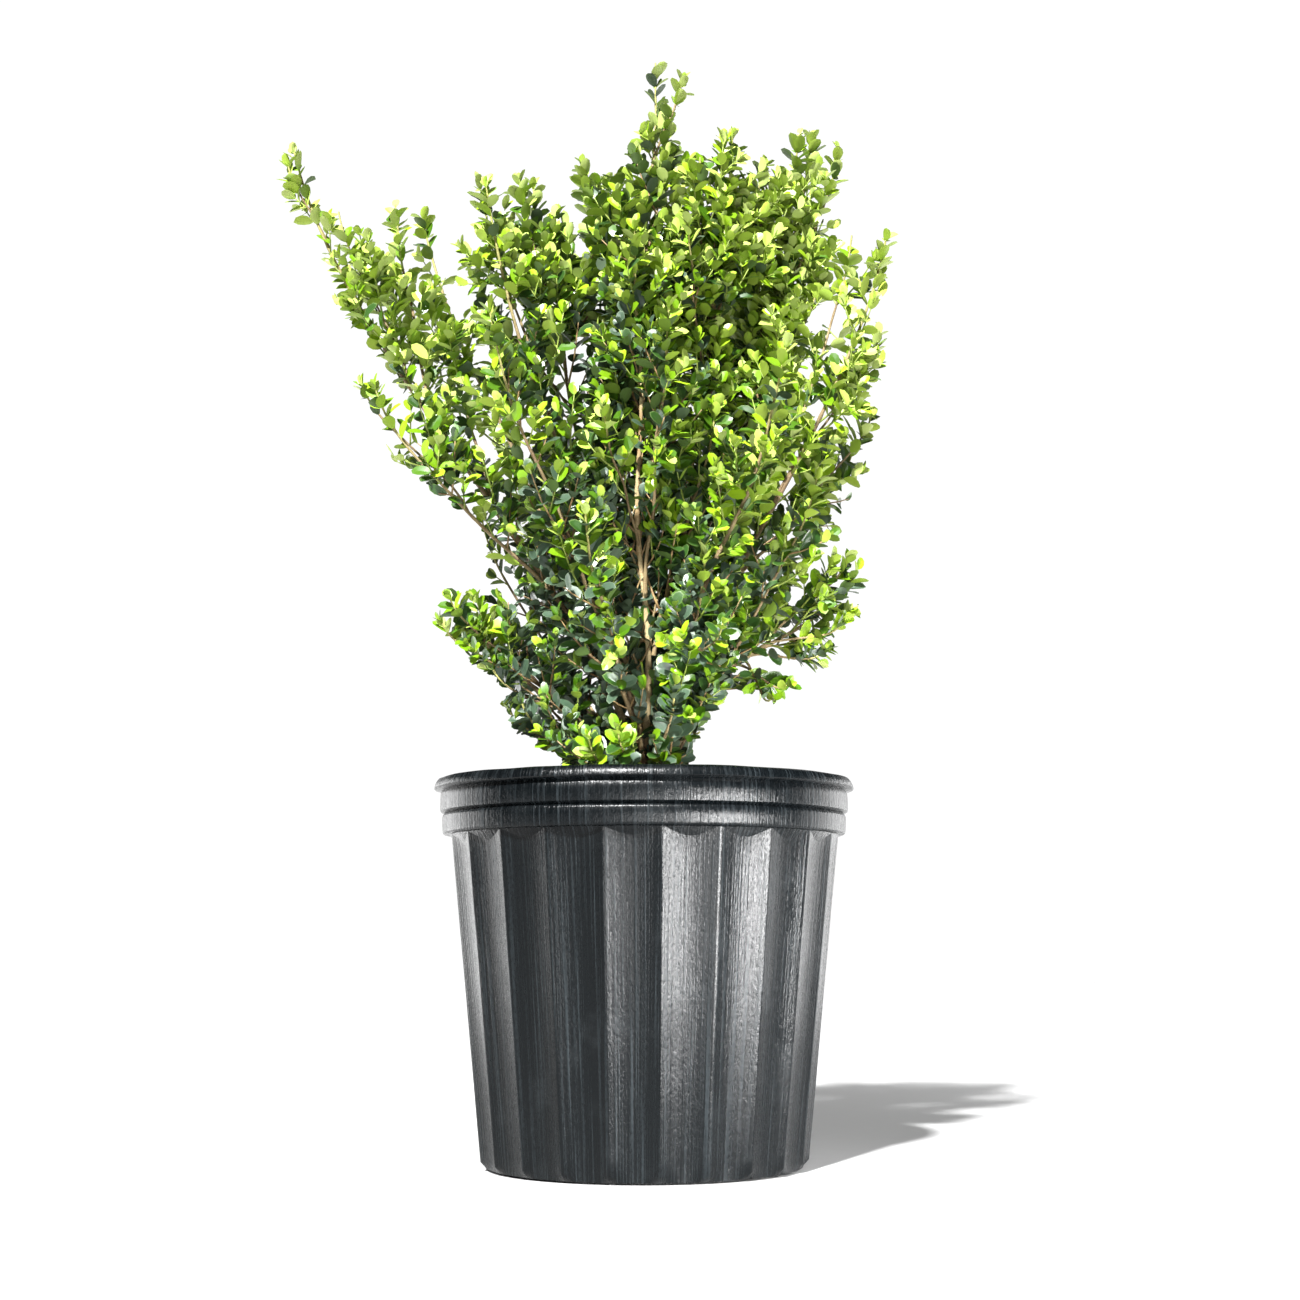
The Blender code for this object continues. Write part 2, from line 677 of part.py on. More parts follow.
class Mass:
    """A mass of foliage: twigs and leaves by a seeded rule, fused on one stem."""

    def __init__(self, name, line, radius, space, grown, seed):
        """grown holds what all the masses have grown so far, to be kept clear of."""
        self.name = name
        self.line = line
        self.radius = radius
        self.space = space
        self.grown = grown
        self.dice = random.Random(seed)
        self.solids = []
        self.leaf_count = 0
        self.reach = line_length(line)

    def clear(self, tree, centre, own=()):
        """Whether a test shape touches nothing that has grown, except its own twig."""
        for number, (other, place) in enumerate(self.grown):
            if number not in own and (place - centre).length < CHECK_REACH and other.overlap(tree):
                return False
        return True

    def note(self, tree, centre):
        """Adds a test shape to what has grown, and returns its number."""
        self.grown.append((tree, centre))
        return len(self.grown) - 1

    def try_leaf(self, root, direction, face, size, own):
        """Grows a leaf unless it would leave the space or touch anything."""
        leaf = Leaf(root, direction, square_to(face, direction), size)
        tree = leaf.touch_shape()
        centre = root + direction * LEAF_LENGTH * size / 2
        if not self.space.holds(leaf.samples()) or not self.clear(tree, centre, own):
            return False
        self.note(tree, centre)
        self.solids.append(leaf.solid())
        self.leaf_count += 1
        return True

    def grow_leaf(self, root, tangent, outward, size, own):
        """A leaf out of one side of a twig, turned and leant a little by chance until it fits."""
        for _ in range(TRIES):
            lean = LEAF_ANGLE + self.dice.uniform(-LEAF_LEAN_SPREAD, LEAF_LEAN_SPREAD)
            direction = tangent * math.cos(lean) + outward * math.sin(lean)
            face = tangent * math.sin(lean) - outward * math.cos(lean)
            face = turned(face, direction, self.dice.uniform(-LEAF_ROLL, LEAF_ROLL))
            if self.try_leaf(root, direction, face, size, own):
                return

    def whorl(self, point, tangent, across, size, own):
        """A leaf on each flat side of a three-sided twig, a little apart along it."""
        for side in range(STEM_SIDES):
            outward = side_direction(tangent, across, side)
            self.grow_leaf(point + tangent * (side - 1) * LEAF_STAGGER, tangent, outward, size, own)

    def try_twig(self, root, tangent, outward, share, stem_radius, own):
        """A twig out of one side of the stem, with its leaves, where there is room for it."""
        size = self.leaf_size(share)
        for number in range(TRIES):
            lean = TWIG_ANGLE + self.dice.uniform(-TWIG_TURN_SPREAD, TWIG_TURN_SPREAD)
            swing = self.dice.uniform(-TWIG_TURN_SPREAD, TWIG_TURN_SPREAD)
            direction = turned(tangent * math.cos(lean) + outward * math.sin(lean), tangent, swing)
            direction = (direction * (1 - TWIG_RISE) + UP * TWIG_RISE).normalized()
            length = self.twig_length(share) * self.dice.uniform(*TWIG_LENGTH_SPREAD) * SHORTER**number
            across = turned(direction.orthogonal().normalized(), direction, self.dice.uniform(0.0, math.tau))
            radii = (stem_radius * TWIG_SHARE, TWIG_RADIUS)
            blade = Blade([root, root + direction * length], radii, across, size)
            bare = root + direction * (stem_radius + TWIG_BARE)
            tree = blade.touch_shape(bare)
            centre = root + direction * (length + LEAF_LENGTH * size) / 2
            if self.space.holds(blade.samples(bare)) and self.clear(tree, centre, own):
                self.grow_twig(blade, bare)
                return True
        return False

    def grow_twig(self, blade, bare):
        """Grows a twig that has room, and the leaves round it."""
        root, tip = blade.points
        end = blade.end_leaf()
        self.note(end.touch_shape(), tip + end.direction * LEAF_LENGTH * end.size / 2)
        own = self.note(test_prism(bare, tip, TWIG_RADIUS), bare.lerp(tip, 0.5))
        self.solids.append(blade.solid())
        self.leaf_count += 1
        self.whorl(root.lerp(tip, WHORL_PLACE), end.direction, blade.across, end.size, (own,))

    def twig_length(self, share):
        """How long twigs are at a share of the stem: shorter at its end, and on a short stem."""
        return TWIG_LENGTH * (1.15 - 0.5 * share) * min(1.0, 0.5 + 0.5 * self.reach / FULL_REACH)

    def leaf_size(self, share):
        """How large leaves are at a share of the stem: smaller towards both ends."""
        full = min(1.0, 0.8 + 0.2 * self.reach / FULL_REACH)
        return full * (1.0 - 0.25 * abs(2.0 * share - 0.9) ** 1.5)

    def stem(self):
        """The mass's own stem, which ends in a leaf at the furthest tip, and its test shapes."""
        size = self.leaf_size(1.0)
        points = piece_of(self.line, 0.0, 1.0 - LEAF_LENGTH * size / self.reach, STEM_STEP)
        last = len(points) - 1
        radii = [self.radius + (STEM_END_RADIUS - self.radius) * n / last for n in range(last + 1)]
        frames = frames_along(points)
        blade = Blade(points, radii, frames[0][1], size)
        self.solids.append(blade.solid())
        self.leaf_count += 1
        end = blade.end_leaf()
        self.note(end.touch_shape(), points[-1] + end.direction * LEAF_LENGTH * size / 2)
        own = [
            self.note(test_prism(a.lerp(b, 0.1), b.lerp(a, 0.1), TWIG_RADIUS), a.lerp(b, 0.5))
            for a, b in zip(points, points[1:])
        ]
        return points, radii, frames, own

    def grow(self):
        """Twigs and leaves out of the flat sides of the stem, all the way to its tip."""
        points, radii, frames, own = self.stem()
        last = len(points) - 1
        length = line_length(points)
        count = max(2, round(length / NODE_STEP))
        for number in range(count):
            share = (number + 0.6) / (count + 0.2)
            step = min(int(share * last), last - 1)
            tangent = (points[step + 1] - points[step]).normalized()
            across = square_to(frames[step][1].lerp(frames[step + 1][1], share * last - step), tangent)
            root = point_at(points, share)
            radius = radii[step]
            for side in range(STEM_SIDES):
                outward = side_direction(tangent, across, side)
                place = root + tangent * (side - 1) * SIDE_STAGGER
                is_twig = (number + side) % STEM_SIDES < TWIGS_A_NODE
                if is_twig and self.try_twig(place, tangent, outward, share, radius, own):
                    continue
                self.grow_leaf(place, tangent, outward, self.leaf_size(share), own)

    def fuse(self, finish):
        """One solid of the stem with all that grows from it."""
        made = add_object(self.name, self.solids[0], finish)
        pieces = new_collection("pieces")
        for solid in self.solids[1:]:
            move_to(pieces, add_object("piece", solid))
        apply_boolean(made, "UNION", pieces)
        return made


def test_prism(start, end, radius):
    """A thin closed prism between two points, to test what a twig would touch."""
    shape = tube([start, end], (radius, radius), 3)
    bmesh.ops.triangulate(shape, faces=shape.faces)
    tree = BVHTree.FromBMesh(shape)
    shape.free()
    return tree


def mass_stems(limbs):
    """The line and foot radius of each mass's own stem, by the mass's name."""
    masses = {}
    for name, limb in limbs.items():
        start = limb.bare + 1.05 * CLEARANCE / line_length(limb.line)
        line = [
            point_at(limb.line, start + (1.0 - start) * n / STEM_PIECES)
            for n in range(STEM_PIECES + 1)
        ]
        masses[name + "_foliage"] = (line, limb.radius_at(limb.bare))
    trunk = limbs["trunk"]
    for number, shoot in enumerate(SHOOTS):
        share = shoot.rise / (TRUNK_TIP.z - TRUNK_FOOT.z)
        start, tip = point_at(trunk.line, share), Vector(shoot.tip)
        outward = Vector((tip.x - start.x, tip.y - start.y, 0.0)).normalized()
        foot = start + outward * (trunk.radius_at(share) + CLEARANCE + SHOOT_RADIUS)
        masses[shoot.name] = (growth_line(foot, tip, SHOOT_SEED + number), SHOOT_RADIUS)
    return masses


def limb_surfaces(limbs):
    """The lines of all the bare limbs with their radii, to keep foliage clear of."""
    lines = []
    radii = []
    for limb in limbs.values():
        line = piece_of(limb.line, 0.0, limb.bare, LIMB_PIECE)
        lines.append(line)
        count = len(line) - 1
        radii += [limb.radius_at(limb.bare * n / count) for n in range(count)]
    return Lines(lines, radii)


def main():
    """Builds the pot, the mix, the limbs and the foliage."""
    for old in list(bpy.data.objects):
        bpy.data.objects.remove(old)
    plastic = material("pot_plastic", (0.020, 0.023, 0.026), 0.42)
    mix = material("potting_mix", (0.045, 0.022, 0.016), 0.95)
    bark = material("bark", (0.46, 0.33, 0.19), 0.75)
    green = material("foliage", (0.16, 0.34, 0.05), 0.45)

    pot(plastic)
    potting_mix(mix)
    limbs = grow_limbs()
    names = list(limbs)
    for number, name in enumerate(names):
        limb_object(name, limbs, bark, names[:number])

    stems = mass_stems(limbs)
    surfaces = limb_surfaces(limbs)
    grown = []
    total = 0
    for seed, (name, (line, radius)) in enumerate(stems.items()):
        others = [other for key, (other, _) in stems.items() if key != name]
        mass = Mass(name, line, radius, Space(line, others, surfaces), grown, seed)
        mass.grow()
        mass.fuse(green)
        total += mass.leaf_count
        print(f"{name}: {mass.leaf_count} leaves")
    print(f"{total} leaves")


main()
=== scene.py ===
"""Looks of a young boxwood shrub in its nursery pot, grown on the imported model's own limbs."""

from __future__ import annotations

import json
import logging
import math
import random
from dataclasses import dataclass, field
from enum import Enum
from typing import ClassVar

import bmesh
import bpy
import numpy as np
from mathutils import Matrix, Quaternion, Vector, noise

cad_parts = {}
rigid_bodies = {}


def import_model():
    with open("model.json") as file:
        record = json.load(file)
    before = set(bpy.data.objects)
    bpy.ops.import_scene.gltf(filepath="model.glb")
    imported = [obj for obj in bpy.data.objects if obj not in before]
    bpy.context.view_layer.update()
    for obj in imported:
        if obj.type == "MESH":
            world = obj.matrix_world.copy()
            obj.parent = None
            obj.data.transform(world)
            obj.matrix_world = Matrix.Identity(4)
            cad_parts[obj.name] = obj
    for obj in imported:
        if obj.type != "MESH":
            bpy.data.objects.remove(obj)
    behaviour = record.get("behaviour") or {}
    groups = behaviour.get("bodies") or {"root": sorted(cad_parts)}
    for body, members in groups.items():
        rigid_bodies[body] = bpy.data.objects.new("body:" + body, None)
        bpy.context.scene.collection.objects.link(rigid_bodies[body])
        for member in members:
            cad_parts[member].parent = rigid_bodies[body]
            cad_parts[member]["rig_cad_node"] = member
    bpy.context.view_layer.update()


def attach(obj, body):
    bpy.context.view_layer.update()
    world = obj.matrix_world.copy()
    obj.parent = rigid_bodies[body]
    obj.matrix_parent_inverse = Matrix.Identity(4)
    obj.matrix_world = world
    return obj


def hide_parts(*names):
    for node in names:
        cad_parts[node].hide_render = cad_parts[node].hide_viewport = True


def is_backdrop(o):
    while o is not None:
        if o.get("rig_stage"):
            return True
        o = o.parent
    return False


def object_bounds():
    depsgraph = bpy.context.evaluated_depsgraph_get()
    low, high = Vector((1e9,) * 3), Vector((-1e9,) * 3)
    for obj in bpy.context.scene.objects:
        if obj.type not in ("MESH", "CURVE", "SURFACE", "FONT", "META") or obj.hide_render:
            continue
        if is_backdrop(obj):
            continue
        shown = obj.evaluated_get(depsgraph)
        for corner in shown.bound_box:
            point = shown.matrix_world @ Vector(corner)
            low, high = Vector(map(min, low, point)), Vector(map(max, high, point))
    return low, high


LOG = logging.getLogger("boxwood")
UP = Vector((0.0, 0.0, 1.0))
EYE = Vector((0.004, -1.400, 0.149))
SUN = Vector((-0.30, -0.90, 0.85))
EYE_TILT = math.radians(97.93)
EYE_LENS = 57.44
EYE_SENSOR = 36.0
MERGE = 1e-6

Colour = tuple[float, float, float]
Spot = tuple[float, float, float]
Span = tuple[float, float]
WHITE = (1.0, 1.0, 1.0, 1.0)


# --- shader nodes ---------------------------------------------------------------------------


class Wire:
    """A value in a material: one output socket, with arithmetic."""

    def __init__(self, sheet: Sheet, socket: bpy.types.NodeSocket | None) -> None:
        """Keeps the socket and the sheet of nodes it belongs to."""
        self.sheet = sheet
        self.socket = socket

    def _math(self, operation: str, first: Wire | float, second: Wire | float) -> Wire:
        """One Math node on two values."""
        return self.sheet.node("ShaderNodeMath", {"operation": operation}, {0: first, 1: second})

    def __add__(self, other: Wire | float) -> Wire:
        """This value plus another."""
        return self._math("ADD", self, other)

    __radd__ = __add__

    def __mul__(self, other: Wire | float) -> Wire:
        """This value times another."""
        return self._math("MULTIPLY", self, other)

    __rmul__ = __mul__

    def within(self, low: float, high: float) -> Wire:
        """A smooth step from 0 at low to 1 at high."""
        settings = {"interpolation_type": "SMOOTHSTEP"}
        return self.sheet.node("ShaderNodeMapRange", settings, {0: self, 1: low, 2: high})


class Sheet:
    """The nodes of one material, or of the surround."""

    def __init__(self, name: str, surround: bool = False) -> None:
        """Makes an empty node tree for a new material, or for a new surround."""
        self.owner = (bpy.data.worlds if surround else bpy.data.materials).new(name)
        self.owner.use_nodes = True
        self.tree = self.owner.node_tree
        self.tree.nodes.clear()

    def node(
        self,
        kind: str,
        settings: dict[str, object] | None = None,
        inputs: dict[str | int, object] | None = None,
        output: str | int = 0,
    ) -> Wire:
        """Adds one node.

        Args:
            kind: The node's type.
            settings: Its own settings, set first. "stops" fills a colour ramp.
            inputs: Values or wires by socket name or number.
            output: The output that the returned wire carries.

        Returns:
            The wire from that output, or an empty one from a node that ends the sheet.
        """
        made = self.tree.nodes.new(kind)
        for key, value in (settings or {}).items():
            if key == "stops":
                self._fill_ramp(made.color_ramp, value)
            else:
                setattr(made, key, value)
        for key, value in (inputs or {}).items():
            if isinstance(value, Wire):
                self.tree.links.new(value.socket, made.inputs[key])
            else:
                made.inputs[key].default_value = value
        return Wire(self, made.outputs[output] if made.outputs else None)

    @staticmethod
    def _fill_ramp(ramp: bpy.types.ColorRamp, stops: list[tuple[float, Colour]]) -> None:
        """Gives a colour ramp its stops."""
        while len(ramp.elements) > 1:
            ramp.elements.remove(ramp.elements[-1])
        ramp.elements[0].position = stops[0][0]
        ramp.elements[0].color = (*stops[0][1], 1.0)
        for place, colour in stops[1:]:
            ramp.elements.new(place).color = (*colour, 1.0)

    def place(self, stretch: Spot = (1.0, 1.0, 1.0)) -> Wire:
        """Object coordinates, stretched along the axes."""
        spot = self.node("ShaderNodeTexCoord", output="Object")
        return self.node("ShaderNodeMapping", {}, {"Vector": spot, "Scale": stretch})

    def grain(self, at: Wire, scale: float, detail: float = 2.0, rough: float = 0.5) -> Wire:
        """Noise between 0 and 1 at a place."""
        inputs = {"Vector": at, "Scale": scale, "Detail": detail, "Roughness": rough}
        return self.node("ShaderNodeTexNoise", {}, inputs)

    def blend(self, share: Wire, low: Wire | Colour, high: Wire | Colour) -> Wire:
        """A colour between two, by a share."""
        low = low if isinstance(low, Wire) else (*low, 1.0)
        high = high if isinstance(high, Wire) else (*high, 1.0)
        return self.node("ShaderNodeMix", {"data_type": "RGBA"}, {0: share, 6: low, 7: high}, 2)

    def bump(self, height: Wire, strength: float, distance: float) -> Wire:
        """A normal from a height."""
        inputs = {"Height": height, "Strength": strength, "Distance": distance}
        return self.node("ShaderNodeBump", {}, inputs)

    def finish(self, **sockets: object) -> bpy.types.Material:
        """Ends the sheet with one Principled shader.

        Args:
            sockets: Values or wires by socket name, with _ for a space.

        Returns:
            The material.
        """
        named = {}
        for key, value in sockets.items():
            plain = isinstance(value, tuple) and len(value) == 3
            named[key.replace("_", " ")] = (*value, 1.0) if plain else value
        shader = self.node("ShaderNodeBsdfPrincipled", {}, named)
        self.node("ShaderNodeOutputMaterial", {}, {"Surface": shader})
        return self.owner


# --- finishes -------------------------------------------------------------------------------


@dataclass(frozen=True)
class PotPlastic:
    """Black blow-moulded polythene: brushed streaks down the wall and a fine pitted grain."""

    deep: Colour = (0.0012, 0.0018, 0.0022)
    worn: Colour = (0.0180, 0.0228, 0.0255)
    dusty: Colour = (0.026, 0.030, 0.032)
    streak_scale: float = 620.0
    streak_rise: float = 0.010
    band_scale: float = 90.0
    band_rise: float = 0.03
    grain_scale: float = 900.0
    grain_rise: float = 0.40
    scuff_scale: float = 38.0
    dust_share: float = 0.12
    relief: tuple[float, float] = (0.62, 0.00062)
    shine: float = 0.18
    mean_radius: float = 0.130

    def material(self) -> bpy.types.Material:
        """The plastic's material."""
        sheet = Sheet("pot_plastic")
        streaks = sheet.grain(self.down_wall(sheet, self.streak_rise), self.streak_scale, 3.0, 0.60)
        broad = sheet.grain(self.down_wall(sheet, self.band_rise), self.band_scale, 2.0, 0.5)
        pits = sheet.grain(self.down_wall(sheet, self.grain_rise), self.grain_scale, 2.0, 0.6)
        scuffs = sheet.grain(sheet.place(), self.scuff_scale, 4.0, 0.6)
        tone = (streaks * 0.70 + pits * 0.15 + broad * 0.15).within(0.48, 0.78)
        colour = sheet.blend(tone, self.deep, self.worn)
        dust = scuffs.within(0.52, 0.75) * self.dust_share
        return sheet.finish(
            Base_Color=sheet.blend(dust, colour, self.dusty),
            Roughness=streaks * 0.26 + pits * 0.16 + 0.06,
            Normal=sheet.bump(streaks * 1.10 + pits * 0.70 + broad * 0.20, *self.relief),
            Specular_IOR_Level=self.shine,
        )

    def down_wall(self, sheet: Sheet, rise: float) -> Wire:
        """Places on the wall laid out round a cylinder, drawn out down the wall as it tapers.

        Args:
            sheet: The material's sheet.
            rise: The share of its height that a pattern keeps.

        Returns:
            The places.
        """
        level = sheet.place((1.0, 1.0, 0.0))
        flat = sheet.node("ShaderNodeVectorMath", {"operation": "NORMALIZE"}, {0: level})
        tall = sheet.place((0.0, 0.0, rise))
        round_wall = {0: flat, 1: (self.mean_radius,) * 3, 2: tall}
        return sheet.node("ShaderNodeVectorMath", {"operation": "MULTIPLY_ADD"}, round_wall)


@dataclass(frozen=True)
class BarkMix:
    """Damp composted bark: dark red-brown crumbs of mixed size."""

    dark: Colour = (0.014, 0.0075, 0.0060)
    warm: Colour = (0.075, 0.034, 0.024)
    fibre: Colour = (0.20, 0.11, 0.075)
    scale: float = 260.0
    relief: tuple[float, float] = (0.8, 0.0012)

    def material(self) -> bpy.types.Material:
        """The mix's material."""
        sheet = Sheet("potting_mix_finish")
        spot = sheet.place()
        coarse = sheet.grain(spot, self.scale * 0.35, 3.0, 0.6)
        fine = sheet.grain(spot, self.scale * 2.6, 3.0, 0.6)
        tone = (coarse * 0.7 + fine * 0.5).within(0.38, 0.80)
        colour = sheet.blend(tone, self.dark, self.warm)
        shreds = sheet.grain(sheet.place((1.0, 0.25, 1.0)), self.scale * 1.7, 2.0, 0.5)
        colour = sheet.blend(shreds.within(0.66, 0.74) * 0.6, colour, self.fibre)
        normal = sheet.bump(fine * 0.7 + coarse, *self.relief)
        return sheet.finish(Base_Color=colour, Roughness=0.55 + 0.4 * fine, Normal=normal)


@dataclass(frozen=True)
class WhiteGrit:
    """Expanded white mineral grit, pitted and dusty."""

    pale: Colour = (0.80, 0.78, 0.74)
    dusty: Colour = (0.52, 0.46, 0.40)
    pit_scale: float = 900.0
    relief: tuple[float, float] = (0.6, 0.0004)

    def material(self) -> bpy.types.Material:
        """The grit's material."""
        sheet = Sheet("white_grit")
        pits = sheet.grain(sheet.place(), self.pit_scale, 3.0, 0.6)
        colour = sheet.blend(pits.within(0.50, 0.72), self.pale, self.dusty)
        normal = sheet.bump(pits, *self.relief)
        return sheet.finish(Base_Color=colour, Roughness=0.75 + 0.2 * pits, Normal=normal)


@dataclass(frozen=True)
class Bark:
    """Thin bark, cracked along the stem, in patches of two tints and greener near the tips."""

    name: str
    pale: Colour
    tan: Colour
    brown: Colour
    crack: Colour = (0.15, 0.070, 0.028)
    young: Colour = (0.30, 0.30, 0.08)
    fleck: Colour = (0.50, 0.39, 0.23)
    crack_width: float = 0.55
    crack_length: float = 22.0
    relief: tuple[float, float] = (0.7, 0.0006)

    def material(self) -> bpy.types.Material:
        """The bark's material, which reads the stem's own map and its age."""
        sheet = Sheet(self.name)
        cracks = sheet.grain(self.rolled(sheet), 3.4, 4.0, 0.62)
        patches = sheet.grain(sheet.place(), 120.0, 3.0, 0.55)
        flecks = sheet.grain(sheet.place(), 900.0, 2.0, 0.5)
        broad = sheet.grain(sheet.place(), 22.0, 2.0, 0.5)
        age = sheet.node("ShaderNodeAttribute", {"attribute_name": "age"}, output="Fac")
        colour = sheet.blend(patches.within(0.42, 0.66), self.pale, self.tan)
        colour = sheet.blend(broad.within(0.40, 0.62), colour, self.brown)
        colour = sheet.blend(age.within(0.03, 0.30), self.young, colour)
        colour = sheet.blend(cracks.within(0.52, 0.70), colour, self.crack)
        colour = sheet.blend(flecks.within(0.58, 0.75) * 0.5, colour, self.fleck)
        normal = sheet.bump(cracks + flecks * 0.3, *self.relief)
        return sheet.finish(Base_Color=colour, Roughness=0.55 + 0.3 * cracks, Normal=normal)

    def rolled(self, sheet: Sheet) -> Wire:
        """Places on the stem's map, rolled round the stem so that they close without a seam."""
        chart = sheet.node("ShaderNodeUVMap", {"uv_map": "stem"})
        turn = sheet.node("ShaderNodeSeparateXYZ", {}, {0: chart}, "X") * math.tau
        along = sheet.node("ShaderNodeSeparateXYZ", {}, {0: chart}, "Y")
        around = sheet.node("ShaderNodeMath", {"operation": "COSINE"}, {0: turn})
        across = sheet.node("ShaderNodeMath", {"operation": "SINE"}, {0: turn})
        inputs = {
            "X": around * self.crack_width,
            "Y": across * self.crack_width,
            "Z": along * self.crack_length,
        }
        return sheet.node("ShaderNodeCombineXYZ", {}, inputs)


@dataclass(frozen=True)
class TwigSkin:
    """The thin skin of a twig."""

    name: str
    pale: Colour
    deep: Colour

    def material(self) -> bpy.types.Material:
        """The twig's material."""
        sheet = Sheet(self.name)
        patches = sheet.grain(sheet.place(), 160.0, 3.0, 0.6)
        colour = sheet.blend(patches.within(0.38, 0.66), self.pale, self.deep)
        return sheet.finish(Base_Color=colour, Roughness=0.42 + 0.3 * patches)


@dataclass(frozen=True)
class LeafSkin:
    """One side of a leaf: a plain tint of its spray, which carries painted light and shade, under
    an uneven waxy shine.
    """

    name: str
    tint: Colour
    shine: float
    wax_scale: float = 420.0

    def material(self) -> bpy.types.Material:
        """The leaf's material."""
        sheet = Sheet(self.name)
        wax = sheet.grain(sheet.place(), self.wax_scale, 2.0, 0.5)
        roughness = wax * 0.26 + (1.0 - self.shine) * 0.45 + 0.16
        return sheet.finish(
            Base_Color=self.tint, Roughness=roughness, Specular_IOR_Level=0.85 * self.shine
        )


@dataclass(frozen=True)
class StudioFloor:
    """Plain pale paper."""

    tone: Colour = (0.325, 0.325, 0.325)
    pale: Colour = (0.34, 0.34, 0.34)
    fibre_scale: float = 60.0

    def material(self) -> bpy.types.Material:
        """The floor's material."""
        sheet = Sheet("studio_paper")
        fibre = sheet.grain(sheet.place(), self.fibre_scale, 2.0, 0.5)
        return sheet.finish(Base_Color=sheet.blend(fibre, self.tone, self.pale), Roughness=0.9)


class LeafTone(Enum):
    """The tint of a spray's upper side, the tint of its under side, and its shine."""

    # the tints follow the light a spray gets: beside the leaves' own age, SHADE and DEEP are
    # painted shade inside and low down, LIME and PALE painted light at the top and outside, on both
    # sides of the leaf
    SHADE = ((0.037, 0.067, 0.039), (0.070, 0.104, 0.060), 0.80)
    DEEP = ((0.018, 0.056, 0.007), (0.070, 0.120, 0.028), 0.78)
    GREEN = ((0.041, 0.110, 0.001), (0.120, 0.192, 0.020), 0.76)
    BRIGHT = ((0.116, 0.230, 0.002), (0.215, 0.318, 0.030), 0.74)
    LIME = ((0.212, 0.350, 0.008), (0.320, 0.435, 0.055), 0.70)
    PALE = ((0.335, 0.440, 0.078), (0.400, 0.490, 0.140), 0.66)

    @property
    def rimmed(self) -> bool:
        """Whether the leaves are dark, being old and in painted shade, so that their paler margin
        shows.
        """
        return self in (LeafTone.SHADE, LeafTone.DEEP)


# --- shared shapes --------------------------------------------------------------------------


def stand(name: str, data: bpy.types.ID) -> bpy.types.Object:
    """Puts a mesh, a lamp or a lens into the scene as an object."""
    made = bpy.data.objects.new(name, data)
    bpy.context.scene.collection.objects.link(made)
    return made


def square_to(stem: Vector, turn: float) -> Vector:
    """A direction square to a stem, turned round it."""
    return Quaternion(stem, turn) @ stem.orthogonal().normalized()


def spin_whole(shape: bmesh.types.BMesh, section: list[Spot], steps: int) -> None:
    """Spins a section, from axis to axis, into a closed round body.

    Args:
        shape: The empty bmesh that takes it.
        section: The section's points.
        steps: How many columns the body has.
    """
    points = [shape.verts.new(spot) for spot in section]
    edges = [shape.edges.new(pair) for pair in zip(points, points[1:])]
    bmesh.ops.spin(
        shape,
        geom=points + edges,
        axis=UP,
        cent=(0.0, 0.0, 0.0),
        angle=math.tau,
        steps=steps,
        use_merge=True,
    )
    bmesh.ops.remove_doubles(shape, verts=shape.verts[:], dist=MERGE)
    settle(shape)


def settle(shape: bmesh.types.BMesh) -> None:
    """Lays a mesh's faces in one fixed order, which a merge leaves to chance.

    Args:
        shape: The merged mesh, of triangles and quads.
    """
    shape.verts.index_update()
    rows = []
    for face in shape.faces:
        row = [vert.index for vert in face.verts]
        first = min(range(0, len(row), 2 if len(row) == 4 else 1), key=row.__getitem__)
        rows.append(row[first:] + row[:first])
    spots = [vert.co.copy() for vert in shape.verts]
    shape.clear()
    points = [shape.verts.new(spot) for spot in spots]
    for row in sorted(rows):
        shape.faces.new([points[number] for number in row])


def dress(
    shape: bpy.types.Mesh,
    name: str,
    finishes: list[bpy.types.Material],
    stands_for: list[str],
) -> bpy.types.Object:
    """Makes a mesh a piece of the plant or its pot.

    Args:
        shape: The finished mesh, in its place.
        name: The piece's name.
        finishes: Its materials, in slot order.
        stands_for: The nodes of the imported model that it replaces.

    Returns:
        The piece.
    """
    piece = stand(name, shape)
    for finish in finishes:
        shape.materials.append(finish)
    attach(piece, "root")
    if stands_for:
        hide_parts(*stands_for)
    faces = sum(len(face.vertices) - 2 for face in shape.polygons)
    LOG.info("%s: %d triangles", name, faces)
    return piece


def mesh_of(shape: bmesh.types.BMesh, name: str, sharp_above: float) -> bpy.types.Mesh:
    """A smooth mesh from a bmesh, with its edges sharp above an angle.

    Args:
        shape: The bmesh, which is freed.
        name: The mesh's name.
        sharp_above: The angle, in radians, above which an edge is sharp.

    Returns:
        The mesh.
    """
    made = bpy.data.meshes.new(name)
    shape.to_mesh(made)
    shape.free()
    made.shade_smooth()
    made.set_sharp_from_angle(angle=sharp_above)
    return made


def mesh_from_arrays(
    name: str,
    points: np.ndarray,
    faces: np.ndarray,
    finish: np.ndarray | None = None,
) -> bpy.types.Mesh:
    """A mesh of triangles from arrays.

    Args:
        name: The mesh's name.
        points: Its corners, one row each.
        faces: Three corner numbers a row.
        finish: The material number of each face.

    Returns:
        The smooth mesh.
    """
    made = bpy.data.meshes.new(name)
    made.vertices.add(len(points))
    made.vertices.foreach_set("co", points.astype(np.float32).ravel())
    made.loops.add(faces.size)
    made.loops.foreach_set("vertex_index", faces.astype(np.int32).ravel())
    made.polygons.add(len(faces))
    made.polygons.foreach_set("loop_start", np.arange(0, faces.size, 3, dtype=np.int32))
    if finish is not None:
        made.polygons.foreach_set("material_index", finish.astype(np.int32))
    made.update(calc_edges=True)
    made.shade_smooth()
    return made


# --- the pot --------------------------------------------------------------------------------


